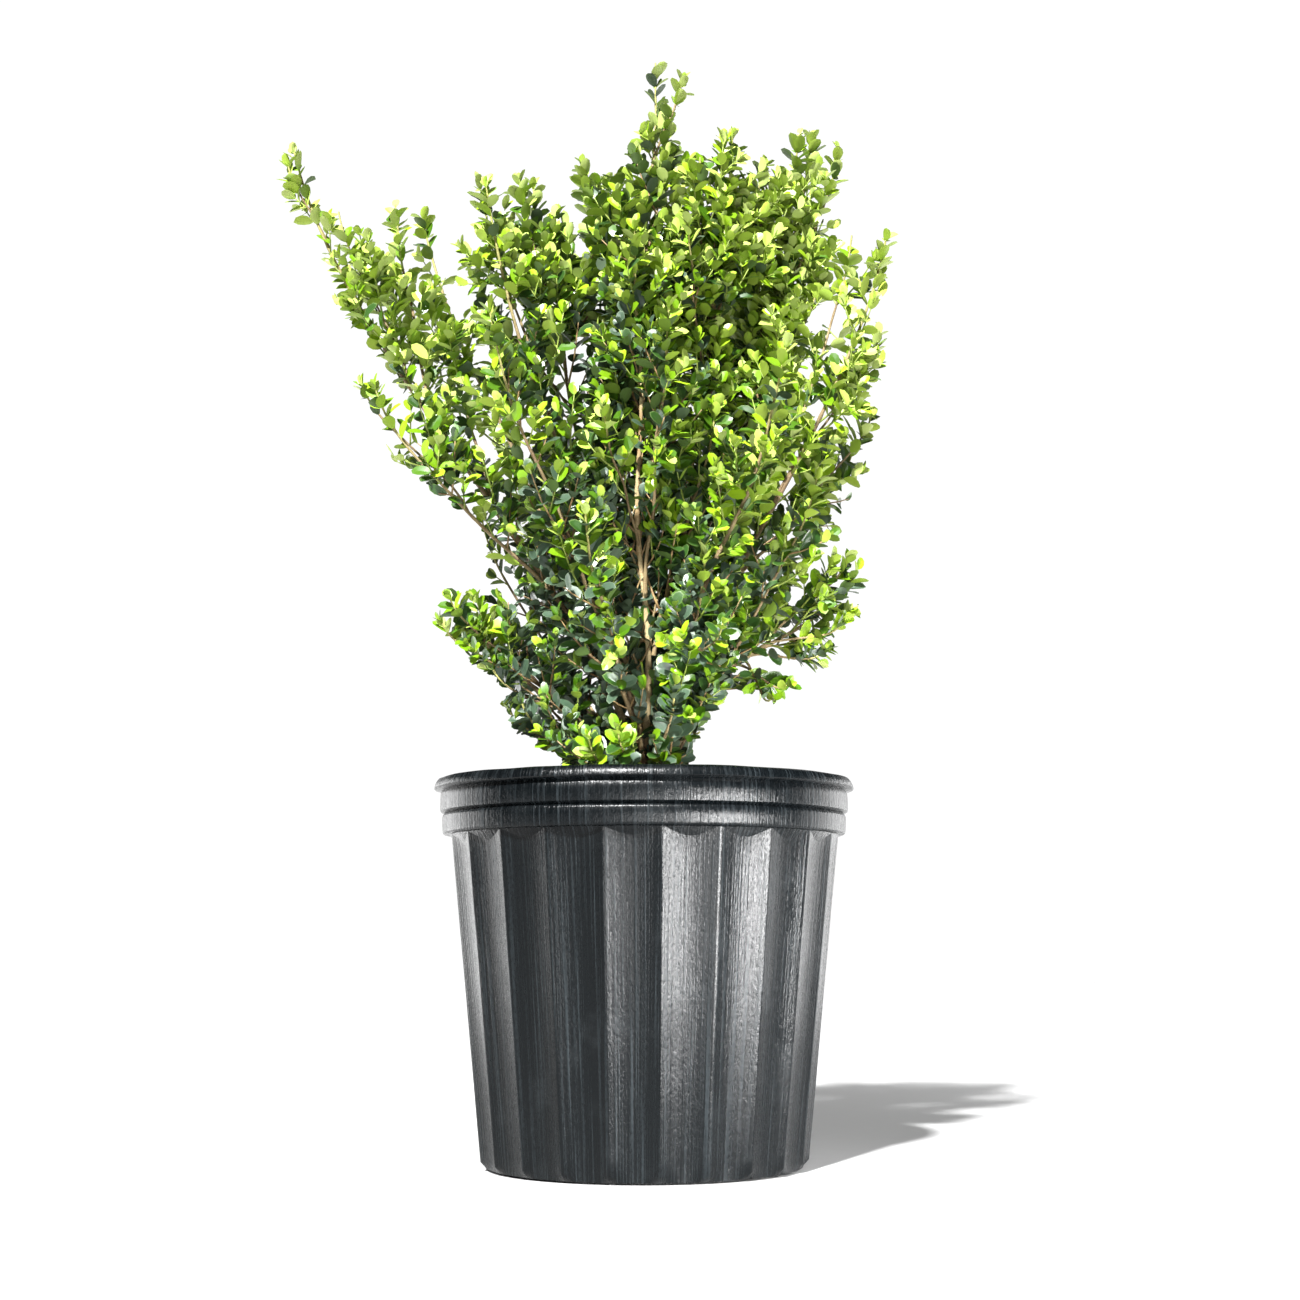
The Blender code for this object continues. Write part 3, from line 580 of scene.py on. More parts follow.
@dataclass
class Pot:
    """A fluted nursery pot with two bands under a rolled lip."""

    height: float = 0.255
    rim_radius: float = 0.141
    body_top_radius: float = 0.1303
    body_top: float = 0.2125
    ledge: float = 0.0050
    base_radius: float = 0.1087
    foot_radius: float = 0.100
    foot_rise: float = 0.006
    floor: float = 0.003
    flutes: int = 22
    flute_depth: float = 0.0045
    columns: int = 14
    ridge_round: float = 0.00035
    crowding: float = 0.62
    seam: float = math.radians(-84.8)
    seam_height: float = 0.00035
    seam_width: float = 0.0012
    half_wall: float = 0.0060
    half_band: float = 0.0078
    shoulder: float = 0.010
    wall_warp: float = 0.00025
    rim_from: float = 0.030
    rim_sag: float = 0.0009
    rim_droop: float = 0.0002
    rim_draw: float = 0.0004
    drain_holes: int = 6
    drain_radius: float = 0.006
    drain_circle: float = 0.086

    def wall_rows(self) -> list[tuple[float, float]]:
        """Radius and height of the fluted wall, from the foot up."""
        rows = 26
        found = []
        for row in range(rows + 1):
            share = row / rows
            rise = self.foot_rise + (self.body_top + self.ledge - self.foot_rise) * share
            reach = self.base_radius + (self.body_top_radius - self.base_radius) * share
            found.append((reach, rise))
        return found

    def profile(self) -> list[tuple[float, float]]:
        """Radius and height round the section, from the middle underneath to the middle inside."""
        top, rim, high = self.body_top, self.rim_radius, self.height
        inner_base = self.base_radius - 0.0065
        inner_top = self.body_top_radius - 0.0065
        outside = [(0.0, 0.0), (0.045, 0.0), (0.090, 0.0), (self.foot_radius, 0.0)]
        outside += [(self.foot_radius + 0.0045, 0.0016)]
        outside += self.wall_rows()
        bands = [
            (rim - 0.0084, top + 0.0053),
            (rim - 0.0068, top + 0.0056),
            (rim - 0.0061, top + 0.0064),
            (rim - 0.0059, top + 0.0080),
            (rim - 0.0056, top + 0.0120),
            (rim - 0.0055, top + 0.0165),
            (rim - 0.0061, top + 0.0180),
            (rim - 0.0074, top + 0.0190),
            (rim - 0.0060, top + 0.0197),
            (rim - 0.0044, top + 0.0206),
            (rim - 0.0041, top + 0.0225),
            (rim - 0.0041, top + 0.0280),
            (rim - 0.0043, top + 0.0330),
            (rim - 0.0052, top + 0.0342),
            (rim - 0.0042, top + 0.0349),
            (rim - 0.0010, top + 0.0352),
            (rim, top + 0.0362),
            (rim - 0.0004, top + 0.0385),
            (rim - 0.0014, high - 0.0020),
            (rim - 0.0026, high - 0.0005),
            (rim - 0.0044, high),
            (rim - 0.0060, high - 0.0008),
            (rim - 0.0068, high - 0.0028),
        ]
        inside = [
            (rim - 0.0072, high - 0.010),
            (rim - 0.0080, top + 0.016),
            (rim - 0.0088, top + 0.008),
            (inner_top, top - 0.004),
            (inner_top * 0.6 + inner_base * 0.4, top * 0.6),
            (inner_base, self.floor + 0.004),
            (inner_base - 0.004, self.floor),
            (0.060, self.floor),
            (0.0, self.floor),
        ]
        return outside + bands + inside

    def flute_at(self, azimuth: float) -> float:
        """How far the wall is pressed in at an azimuth."""
        across = ((azimuth - self.seam) / math.tau * self.flutes) % 1.0
        depth = self.flute_depth * (1.0 - (2.0 * across - 1.0) ** 2)
        return math.hypot(depth, self.ridge_round) - self.ridge_round

    def crowd(self, azimuth: float) -> float:
        """Moves a column of the wall nearer to its ridge."""
        across = (azimuth - self.seam) / math.tau * self.flutes
        return azimuth - self.crowding * math.sin(math.tau * across) / self.flutes

    def spun(self) -> bmesh.types.BMesh:
        """The section spun into a closed pot."""
        shape = bmesh.new()
        section = [(reach, 0.0, rise) for reach, rise in self.profile()]
        spin_whole(shape, section, self.flutes * self.columns)
        turn = Quaternion(UP, self.seam)
        bmesh.ops.rotate(shape, verts=shape.verts[:], matrix=turn.to_matrix())
        bmesh.ops.recalc_face_normals(shape, faces=shape.faces[:])
        return shape

    def press(self, shape: bmesh.types.BMesh) -> None:
        """Presses the flutes, raises the parting line and warps the thin wall a little.

        Args:
            shape: The spun pot.
        """
        wall = {round(rise, 5): reach for reach, rise in self.wall_rows()}
        for vert in shape.verts:
            reach = math.hypot(vert.co.x, vert.co.y)
            if reach < 1e-4:
                continue
            azimuth = self.crowd(math.atan2(vert.co.y, vert.co.x))
            rise = vert.co.z
            outside = rise >= self.foot_rise - MERGE and reach > self.inner_at(rise)
            on_wall = wall.get(round(rise, 5))
            if on_wall is not None and abs(on_wall - reach) < 1e-5:
                reach -= self.flute_at(azimuth) * self.fade(rise)
                warp = noise.noise(Vector((azimuth * 6.0, rise * 26.0, 0.3))) - 0.4
                reach += self.wall_warp * warp
            if outside:
                reach += self.seam_height * self.seam_share(azimuth, rise)
            if rise > self.body_top + self.rim_from:
                spot = Vector((math.cos(azimuth) * 4.0, math.sin(azimuth) * 4.0, 2.0))
                ripple = noise.noise(spot)
                rise += min(0.0, self.rim_sag * ripple - self.rim_droop)
                reach -= self.rim_draw * abs(ripple)
            vert.co = (reach * math.cos(azimuth), reach * math.sin(azimuth), rise)

    def inner_at(self, rise: float) -> float:
        """The radius halfway through the wall at a height."""
        if rise > self.body_top:
            return self.rim_radius - self.half_band
        share = (rise - self.floor) / (self.body_top - self.floor)
        reach = self.base_radius + (self.body_top_radius - self.base_radius) * share
        return reach - self.half_wall

    def fade(self, rise: float) -> float:
        """How much of the flutes' depth a height keeps: they round off just under the band."""
        top = min(1.0, (self.body_top + self.ledge - rise) / self.shoulder)
        return 0.55 + 0.45 * math.sqrt(max(0.0, top))

    def seam_share(self, azimuth: float, rise: float) -> float:
        """How much of the parting line stands at an azimuth."""
        away = (azimuth - self.seam) % math.pi
        away = min(away, math.pi - away) * self.rim_radius
        ragged = 0.6 + 0.8 * noise.noise(Vector((rise * 160.0, 1.0, 4.0)))
        return max(0.0, 1.0 - away / self.seam_width) * max(0.2, ragged)

    def drill(self, piece: bpy.types.Object) -> None:
        """Cuts the drain holes out of the floor.

        Args:
            piece: The pot's object.
        """
        shape = bmesh.new()
        for number in range(self.drain_holes):
            angle = math.tau * (number + 0.5) / self.drain_holes
            made = bmesh.ops.create_cone(
                shape,
                cap_ends=True,
                segments=20,
                radius1=self.drain_radius,
                radius2=self.drain_radius,
                depth=0.02,
            )
            spot = Vector((math.cos(angle), math.sin(angle), 0.0)) * self.drain_circle
            bmesh.ops.translate(shape, verts=made["verts"], vec=spot)
        cutter = stand("drain_cutter", mesh_of(shape, "drain_cutter", 0.6))
        cut = piece.modifiers.new("drain", "BOOLEAN")
        cut.operation = "DIFFERENCE"
        cut.object = cutter
        cut.solver = "EXACT"
        bpy.context.view_layer.update()
        graph = bpy.context.evaluated_depsgraph_get()
        drilled = bpy.data.meshes.new_from_object(piece.evaluated_get(graph))
        piece.modifiers.clear()
        piece.data = drilled
        bpy.data.objects.remove(cutter)

    def build(self) -> bpy.types.Object:
        """The finished pot."""
        shape = self.spun()
        self.press(shape)
        made = mesh_of(shape, "nursery_pot", math.radians(40))
        piece = dress(made, "nursery_pot", [PotPlastic().material()], ["pot"])
        self.drill(piece)
        return piece


# --- the potting mix ------------------------------------------------------------------------


@dataclass
class PottingMix:
    """The bed of composted bark in the pot, its loose crumbs and its white grit."""

    edge_radius: float = 0.1255
    edge: float = 0.2265
    crown: float = 0.2300
    lump_height: float = 0.0024
    crumb_height: float = 0.0016
    rings: int = 64
    columns: int = 220
    sides: tuple = ((0.119, 0.0, 0.16), (0.104, 0.0, 0.010), (0.0, 0.0, 0.010))
    crumbs: int = 1500
    grits: int = 130
    strewn_to: float = 0.985
    small_bias: float = 2.5
    roughness: float = 0.28
    tilt: float = 0.35
    sunk: float = 0.18
    seed: int = 11

    def height_at(self, x: float, y: float) -> float:
        """The height of the bed at a place."""
        reach = math.hypot(x, y) / self.edge_radius
        rise = self.crown - (self.crown - self.edge) * min(1.0, reach) ** 2
        lumps = noise.noise(Vector((x, y, 0.0)) * 55.0) * self.lump_height
        crumbs = noise.noise(Vector((x, y, 3.0)) * 190.0) * self.crumb_height
        return rise + lumps + crumbs

    def bed(self) -> bpy.types.Object:
        """The bed as a closed block with a lumpy top."""
        shape = bmesh.new()
        reaches = [self.edge_radius * ring / self.rings for ring in range(self.rings + 1)]
        section = [(reach, 0.0, self.crown) for reach in reaches]
        spin_whole(shape, section + list(self.sides), self.columns)
        bmesh.ops.recalc_face_normals(shape, faces=shape.faces[:])
        for vert in shape.verts:
            if vert.co.z > 0.2:
                vert.co.z = self.height_at(vert.co.x, vert.co.y)
        made = mesh_of(shape, "mix_bed", math.radians(70))
        return dress(made, "mix_bed", [BarkMix().material()], ["potting_mix"])

    def scatter(
        self,
        name: str,
        count: int,
        sizes: tuple[float, float],
        slim: float,
        finish: bpy.types.Material,
    ) -> bpy.types.Object:
        """Loose bits strewn over the bed, joined.

        Args:
            name: The piece's name.
            count: How many bits.
            sizes: The least and greatest half length.
            slim: How slim the slimmest bit is.
            finish: Their material.

        Returns:
            The piece.
        """
        dice = random.Random(self.seed + count)
        shape = bmesh.new()
        bmesh.ops.create_icosphere(shape, subdivisions=1, radius=1.0)
        shape.verts.ensure_lookup_table()
        ball = np.array([vert.co[:] for vert in shape.verts])
        skin = np.array([[vert.index for vert in face.verts] for face in shape.faces])
        shape.free()
        points, faces = [], []
        for number in range(count):
            reach = self.edge_radius * self.strewn_to * math.sqrt(dice.random())
            angle = dice.uniform(0.0, math.tau)
            x, y = reach * math.cos(angle), reach * math.sin(angle)
            length = sizes[0] + (sizes[1] - sizes[0]) * dice.random() ** self.small_bias
            wide = length * dice.uniform(slim, 1.0)
            form = np.array((length, wide, length * dice.uniform(slim, 0.8)))
            rough = np.array([1.0 + dice.uniform(-self.roughness, self.roughness) for _ in ball])
            axis = Vector((dice.gauss(0, self.tilt), dice.gauss(0, self.tilt), 1.0)).normalized()
            turn = np.array(Quaternion(axis, dice.uniform(0, math.tau)).to_matrix())
            bit = (ball * rough[:, None] * form) @ turn.T
            bit += (x, y, self.height_at(x, y) + length * self.sunk)
            points.append(bit)
            faces.append(skin + number * len(ball))
        made = mesh_from_arrays(name, np.vstack(points), np.vstack(faces))
        made.set_sharp_from_angle(angle=math.radians(30))
        return dress(made, name, [finish], [])

    def build(self) -> None:
        """The bed and everything strewn over it."""
        self.bed()
        bark = bpy.data.materials["potting_mix_finish"]
        self.scatter("bark_crumbs", self.crumbs, (0.0010, 0.0056), 0.30, bark)
        self.scatter("grit_bits", self.grits, (0.0008, 0.0020), 0.70, WhiteGrit().material())


# --- limbs ----------------------------------------------------------------------------------

TRUNK_FOOT = Vector((0.003, -0.006, 0.2303))
TRUNK_TIP = Vector((-0.006, -0.062, 0.620))
TRUNK_RADIUS = 0.0030
SHOOT_RADIUS = 0.0016
CLEARANCE = 0.0003
TRUNK_BARE, SHOOT_BARE, SPRIG_BARE = 0.30, 0.12, 0.10

# name: parent, fork, tip, radius and the share that is bare; a fork is a rise on the trunk above
# the mix, and on a bough a share of its line
BOUGHS = {
    "far_left": ("trunk", 0.024, (-0.243, -0.020, 0.690), 0.0031, 0.34),
    "left_mid": ("far_left", 0.20, (-0.176, -0.078, 0.506), 0.0019, 0.30),
    "left_inner": ("far_left", 0.20, (-0.162, 0.050, 0.672), 0.0024, 0.38),
    "left_upper": ("trunk", 0.042, (-0.107, -0.050, 0.654), 0.0028, 0.42),
    "left_centre": ("left_upper", 0.24, (-0.080, 0.034, 0.685), 0.0022, 0.38),
    "leader": ("trunk", 0.190, (0.008, 0.040, 0.782), 0.0022, 0.24),
    "centre_left": ("leader", 0.20, (-0.047, 0.105, 0.722), 0.0022, 0.40),
    "right_upper": ("trunk", 0.038, (0.122, 0.050, 0.728), 0.0030, 0.40),
    "right_centre": ("right_upper", 0.20, (0.062, -0.006, 0.707), 0.0024, 0.38),
    "right_inner": ("right_upper", 0.30, (0.088, 0.115, 0.690), 0.0020, 0.34),
    "far_right": ("trunk", 0.021, (0.166, -0.028, 0.625), 0.0028, 0.38),
    "right_mid": ("far_right", 0.32, (0.148, 0.040, 0.492), 0.0018, 0.24),
    "right_low": ("far_right", 0.12, (0.144, -0.020, 0.396), 0.0022, 0.32),
    "left_low": ("trunk", 0.012, (-0.128, -0.040, 0.378), 0.0025, 0.36),
    "front_low": ("trunk", 0.015, (-0.036, -0.145, 0.410), 0.0024, 0.36),
    "front_left": ("front_low", 0.20, (-0.098, -0.120, 0.545), 0.0020, 0.30),
    "front_right": ("trunk", 0.031, (0.090, -0.125, 0.520), 0.0026, 0.36),
    "back_low": ("trunk", 0.014, (0.000, 0.155, 0.410), 0.0024, 0.38),
    "back_left": ("back_low", 0.20, (-0.110, 0.140, 0.570), 0.0021, 0.36),
    "back_right": ("trunk", 0.029, (0.100, 0.145, 0.570), 0.0026, 0.42),
}

# name: rise on the trunk above the mix, and tip
SHOOTS = {
    "low_left": (0.004, (-0.080, -0.046, 0.302)),
    "low_right": (0.006, (0.046, -0.048, 0.332)),
    "low_front": (0.004, (0.020, -0.084, 0.310)),
    "low_back": (0.004, (-0.036, 0.082, 0.308)),
    "inner_left": (0.006, (-0.092, 0.044, 0.350)),
    "inner_right": (0.010, (0.104, 0.030, 0.420)),
    "inner_front": (0.010, (0.040, -0.090, 0.395)),
    "inner_back": (0.030, (-0.034, 0.072, 0.440)),
    "outer_left": (0.014, (-0.114, 0.034, 0.440)),
    "outer_right": (0.014, (0.114, -0.064, 0.450)),
    "middle_right": (0.110, (0.048, -0.056, 0.500)),
    "middle_back": (0.120, (-0.066, 0.034, 0.520)),
    "middle_front": (0.150, (0.016, -0.112, 0.550)),
}

# finer side boughs: parent, share of its line, tip and radius
SPRIGS = {
    "left_spray": ("far_left", 0.58, (-0.175, 0.000, 0.660), 0.0014),
    "left_spray_inner": ("far_left", 0.44, (-0.150, 0.012, 0.602), 0.0014),
    "left_tall": ("left_upper", 0.55, (-0.114, -0.020, 0.668), 0.0013),
    "left_centre_side": ("left_centre", 0.60, (-0.089, 0.020, 0.683), 0.0012),
    "left_centre_low": ("left_centre", 0.56, (-0.064, 0.030, 0.664), 0.0012),
    "left_window_side": ("left_centre", 0.45, (-0.116, 0.000, 0.605), 0.0012),
    "centre_spray": ("centre_left", 0.50, (-0.045, 0.060, 0.712), 0.0013),
    "centre_fill": ("leader", 0.34, (-0.021, 0.020, 0.690), 0.0014),
    "leader_side": ("leader", 0.76, (0.027, 0.020, 0.759), 0.0011),
    "centre_right": ("right_centre", 0.42, (0.039, -0.012, 0.690), 0.0014),
    "high_front": ("right_centre", 0.48, (0.030, -0.056, 0.625), 0.0013),
    "right_twin": ("right_centre", 0.58, (0.085, 0.020, 0.698), 0.0012),
    "right_gap": ("right_centre", 0.60, (0.094, 0.010, 0.682), 0.0012),
    "right_upper_side": ("right_upper", 0.62, (0.112, 0.040, 0.727), 0.0012),
    "right_centre_side": ("right_centre", 0.74, (0.055, -0.006, 0.703), 0.0010),
    "far_left_tuft": ("far_left", 0.62, (-0.213, -0.010, 0.651), 0.0010),
    "far_left_side": ("far_left", 0.84, (-0.247, -0.020, 0.680), 0.0009),
    "right_side": ("right_upper", 0.52, (0.140, 0.030, 0.712), 0.0014),
    "right_fill": ("right_upper", 0.42, (0.124, 0.010, 0.610), 0.0013),
    "far_right_twin": ("far_right", 0.56, (0.145, -0.004, 0.636), 0.0013),
    "right_edge": ("far_right", 0.50, (0.160, -0.016, 0.560), 0.0012),
    "right_edge_low": ("right_mid", 0.45, (0.158, 0.010, 0.509), 0.0011),
    "right_notch": ("right_low", 0.50, (0.137, -0.020, 0.402), 0.0011),
    "left_cluster": ("left_low", 0.50, (-0.127, -0.060, 0.370), 0.0012),
    "left_cluster_low": ("left_low", 0.46, (-0.133, -0.050, 0.355), 0.0011),
    "left_cluster_foot": ("left_low", 0.30, (-0.099, -0.050, 0.324), 0.0011),
    "low_left_side": ("left_low", 0.12, (-0.088, -0.040, 0.297), 0.0010),
    "left_ledge": ("left_mid", 0.55, (-0.188, -0.052, 0.515), 0.0011),
    "front_fill": ("trunk", 0.46, (-0.026, -0.104, 0.485), 0.0012),
    "front_spray": ("front_right", 0.24, (0.050, -0.108, 0.346), 0.0012),
    "low_right_side": ("right_low", 0.40, (0.084, -0.036, 0.306), 0.0011),
    "right_ledge": ("right_low", 0.46, (0.132, -0.040, 0.357), 0.0011),
    "right_ledge_low": ("right_low", 0.40, (0.120, -0.030, 0.339), 0.0010),
    "rim_tuft": ("trunk", 0.006, (-0.034, -0.112, 0.272), 0.0010),
    "rim_tuft_side": ("trunk", 0.008, (-0.016, -0.114, 0.278), 0.0010),
    "stem_side_low": ("trunk", 0.14, (0.026, -0.030, 0.352), 0.0010),
    "stem_side_middle": ("trunk", 0.30, (0.022, -0.034, 0.430), 0.0010),
    "stem_side_high": ("trunk", 0.46, (0.020, -0.036, 0.520), 0.0010),
    "stem_left_low": ("trunk", 0.20, (-0.028, -0.034, 0.400), 0.0010),
    "stem_left_high": ("trunk", 0.38, (-0.034, -0.036, 0.480), 0.0010),
    "stem_top_left": ("trunk", 0.60, (-0.015, -0.030, 0.584), 0.0009),
    "stem_top_right": ("trunk", 0.66, (0.009, -0.030, 0.606), 0.0009),
    "stem_top_front": ("trunk", 0.70, (0.000, -0.028, 0.626), 0.0009),
    "centre_gap": ("trunk", 0.50, (-0.028, -0.010, 0.547), 0.0010),
    "leader_low": ("leader", 0.56, (0.017, 0.020, 0.703), 0.0011),
    "leader_front": ("leader", 0.26, (0.012, -0.010, 0.557), 0.0010),
    "leader_foot": ("leader", 0.14, (0.018, -0.010, 0.514), 0.0010),
    "leader_right": ("right_centre", 0.50, (0.033, 0.000, 0.679), 0.0011),
    "high_back": ("leader", 0.40, (0.022, 0.050, 0.678), 0.0011),
    "right_fill_high": ("right_upper", 0.50, (0.124, 0.020, 0.634), 0.0011),
    "foot_right": ("right_low", 0.08, (0.047, -0.030, 0.305), 0.0010),
    "foot_right_low": ("right_low", 0.04, (0.037, -0.030, 0.285), 0.0010),
    "low_right_twin": ("right_low", 0.36, (0.095, -0.030, 0.316), 0.0010),
}

# limbs in fresh growth, and how much brighter their leaves are
FRESH = {
    "rim_tuft": 0.18, "rim_tuft_side": 0.20, "front_spray": 0.08, "front_fill": 0.10,
    "right_ledge": 0.08, "middle_right": 0.10, "right_notch": 0.12, "left_cluster": 0.06,
    "middle_front": 0.06,
}

# limbs that stay open, and the share of their twigs that they keep
OPEN = {
    "far_left": 0.64, "far_left_side": 0.45, "left_spray": 0.72, "left_spray_inner": 0.75,
    "left_tall": 0.75, "left_mid": 0.80, "left_inner": 0.80, "left_upper": 0.88,
    "left_window_side": 0.80, "left_low": 0.82, "left_cluster": 0.85, "left_cluster_low": 0.80,
    "left_cluster_foot": 0.80, "right_fill": 0.85, "right_mid": 0.85, "far_right": 0.82,
    "right_low": 0.78, "right_ledge": 0.80, "right_ledge_low": 0.70, "low_right_twin": 0.75,
    "low_left": 0.80, "outer_left": 0.80, "inner_left": 0.80, "leader": 0.85, "leader_side": 0.80,
}

# the crown's outline from the front, and the windows of sky in it, on the upright plane through
# the middle of the pot: x and z, and for a window its radius
OUTLINE = (
    (0.005, 0.770), (0.019, 0.767), (0.037, 0.757), (0.033, 0.740), (0.024, 0.730), (0.020, 0.716),
    (0.027, 0.699), (0.045, 0.693), (0.055, 0.716), (0.069, 0.715), (0.074, 0.699), (0.087, 0.694),
    (0.094, 0.684), (0.107, 0.716), (0.137, 0.713), (0.143, 0.665), (0.133, 0.636), (0.153, 0.626),
    (0.178, 0.646), (0.169, 0.600), (0.165, 0.583), (0.168, 0.564), (0.166, 0.541), (0.153, 0.524),
    (0.160, 0.514), (0.162, 0.506), (0.158, 0.492), (0.160, 0.479), (0.155, 0.472), (0.146, 0.453),
    (0.131, 0.435), (0.134, 0.424), (0.134, 0.414), (0.144, 0.414), (0.148, 0.405), (0.158, 0.403),
    (0.154, 0.393), (0.160, 0.388), (0.147, 0.375), (0.145, 0.366), (0.134, 0.359), (0.132, 0.344),
    (0.127, 0.332), (0.104, 0.332), (0.081, 0.336), (0.065, 0.337), (0.055, 0.335), (0.063, 0.329),
    (0.096, 0.328), (0.105, 0.319), (0.095, 0.312), (0.081, 0.308), (0.071, 0.316), (0.056, 0.317),
    (0.048, 0.305), (0.039, 0.293), (0.032, 0.278), (0.029, 0.255), (-0.050, 0.255),
    (-0.057, 0.273), (-0.070, 0.280), (-0.086, 0.287), (-0.095, 0.297), (-0.095, 0.310),
    (-0.089, 0.318), (-0.100, 0.327), (-0.116, 0.336), (-0.128, 0.351), (-0.144, 0.363),
    (-0.139, 0.373), (-0.138, 0.385), (-0.124, 0.387), (-0.114, 0.385), (-0.105, 0.386),
    (-0.107, 0.409), (-0.106, 0.426), (-0.168, 0.472), (-0.176, 0.481), (-0.178, 0.503),
    (-0.188, 0.512), (-0.199, 0.524), (-0.200, 0.534), (-0.189, 0.538), (-0.183, 0.542),
    (-0.185, 0.556), (-0.216, 0.588), (-0.219, 0.609), (-0.225, 0.628), (-0.237, 0.641),
    (-0.248, 0.655), (-0.257, 0.672), (-0.257, 0.683), (-0.253, 0.701), (-0.248, 0.706),
    (-0.242, 0.699), (-0.240, 0.687), (-0.230, 0.675), (-0.226, 0.663), (-0.214, 0.648),
    (-0.198, 0.643), (-0.173, 0.665), (-0.160, 0.655), (-0.140, 0.661), (-0.139, 0.640),
    (-0.125, 0.638), (-0.115, 0.655), (-0.127, 0.668), (-0.124, 0.674), (-0.118, 0.682),
    (-0.073, 0.683), (-0.072, 0.662), (-0.057, 0.660), (-0.056, 0.683), (-0.047, 0.696),
    (-0.035, 0.693), (-0.032, 0.679), (-0.019, 0.686), (0.002, 0.721),
)
WINDOWS = (
    (-0.062, 0.669, 0.0085), (0.128, 0.581, 0.0085), (-0.132, 0.597, 0.0062),
    (-0.139, 0.613, 0.0062), (-0.142, 0.625, 0.0060), (-0.119, 0.633, 0.0060),
    (-0.128, 0.584, 0.0060), (0.104, 0.381, 0.0060), (-0.075, 0.322, 0.0060),
    (0.134, 0.572, 0.0055), (-0.167, 0.616, 0.0050), (-0.181, 0.539, 0.0050),
    (0.119, 0.573, 0.0050), (-0.151, 0.571, 0.0050), (-0.093, 0.391, 0.0050),
    (-0.048, 0.652, 0.0060), (-0.060, 0.300, 0.0045), (-0.012, 0.352, 0.0040),
    (-0.044, 0.629, 0.0061), (-0.052, 0.545, 0.0056), (-0.045, 0.535, 0.0047),
    (-0.090, 0.580, 0.0065), (-0.088, 0.570, 0.0056), (-0.112, 0.551, 0.0061),
    (-0.110, 0.487, 0.0056), (-0.083, 0.499, 0.0047), (-0.081, 0.483, 0.0051),
    (-0.166, 0.492, 0.0051), (-0.156, 0.484, 0.0051), (0.119, 0.514, 0.0056),
    (0.122, 0.502, 0.0051), (0.136, 0.553, 0.0037), (0.101, 0.424, 0.0037), (0.075, 0.428, 0.0042),
    (0.100, 0.460, 0.0042), (-0.014, 0.337, 0.0042), (-0.034, 0.303, 0.0042),
    (-0.010, 0.302, 0.0042), (-0.096, 0.397, 0.0040), (-0.092, 0.382, 0.0042),
    (-0.083, 0.367, 0.0056), (-0.105, 0.660, 0.0042),
)


def growth_line(foot: Vector, tip: Vector, seed: int) -> list[Vector]:
    """The line of a limb: it leaves rising, leans out towards its tip, and rises again there.

    Args:
        foot: Where it leaves its parent.
        tip: Its furthest point.
        seed: What its sway is drawn from.

    Returns:
        The points of the line.
    """
    rise_at_foot, rise_at_tip, pull, steps = 0.45, 0.55, 0.3, 24
    sway, full_sway_at, waves = 0.003, 0.3, 2.2
    chord = tip - foot
    reach = chord.length
    along = chord.normalized()
    start = (along * (1 - rise_at_foot) + UP * rise_at_foot).normalized()
    end = (along * (1 - rise_at_tip) + UP * rise_at_tip).normalized()
    control = (foot, foot + start * reach * pull, tip - end * reach * pull, tip)
    side = along.cross(UP).normalized()
    phase = random.Random(seed).uniform(0.0, math.tau)
    size = sway * min(1.0, reach / full_sway_at)
    line = []
    for step in range(steps + 1):
        share = step / steps
        rest = 1.0 - share
        weights = (rest**3, 3 * rest**2 * share, 3 * rest * share**2, share**3)
        point = sum((p * w for p, w in zip(control, weights)), Vector())
        drift = size * math.sin(math.pi * share) * math.sin(waves * math.tau * share + phase)
        line.append(point + side * drift)
    return line


@dataclass
class Limb:
    """A trunk, bough or shoot: its line, its radius at the foot and where its leaves start."""

    name: str
    line: list[Vector]
    radius: float
    leafy_from: float
    is_trunk: bool = False

    def point(self, share: float) -> Vector:
        """The point at a share of the line."""
        place = min(max(share, 0.0), 1.0) * (len(self.line) - 1)
        step = min(int(place), len(self.line) - 2)
        return self.line[step].lerp(self.line[step + 1], place - step)

    def tangent(self, share: float) -> Vector:
        """The direction at a share of the line."""
        return (self.point(share + 0.03) - self.point(share - 0.03)).normalized()

    def length(self) -> float:
        """How long the line is."""
        return sum((b - a).length for a, b in zip(self.line, self.line[1:]))

    def radius_at(self, share: float) -> float:
        """The radius at a share of the line."""
        tip_radius, flare, flare_height = 0.0007, 0.009, 0.018
        radius = tip_radius + (self.radius - tip_radius) * (1.0 - share) ** 0.8
        if self.is_trunk:
            radius += flare * math.exp(-(self.point(share).z - self.line[0].z) / flare_height)
        return radius


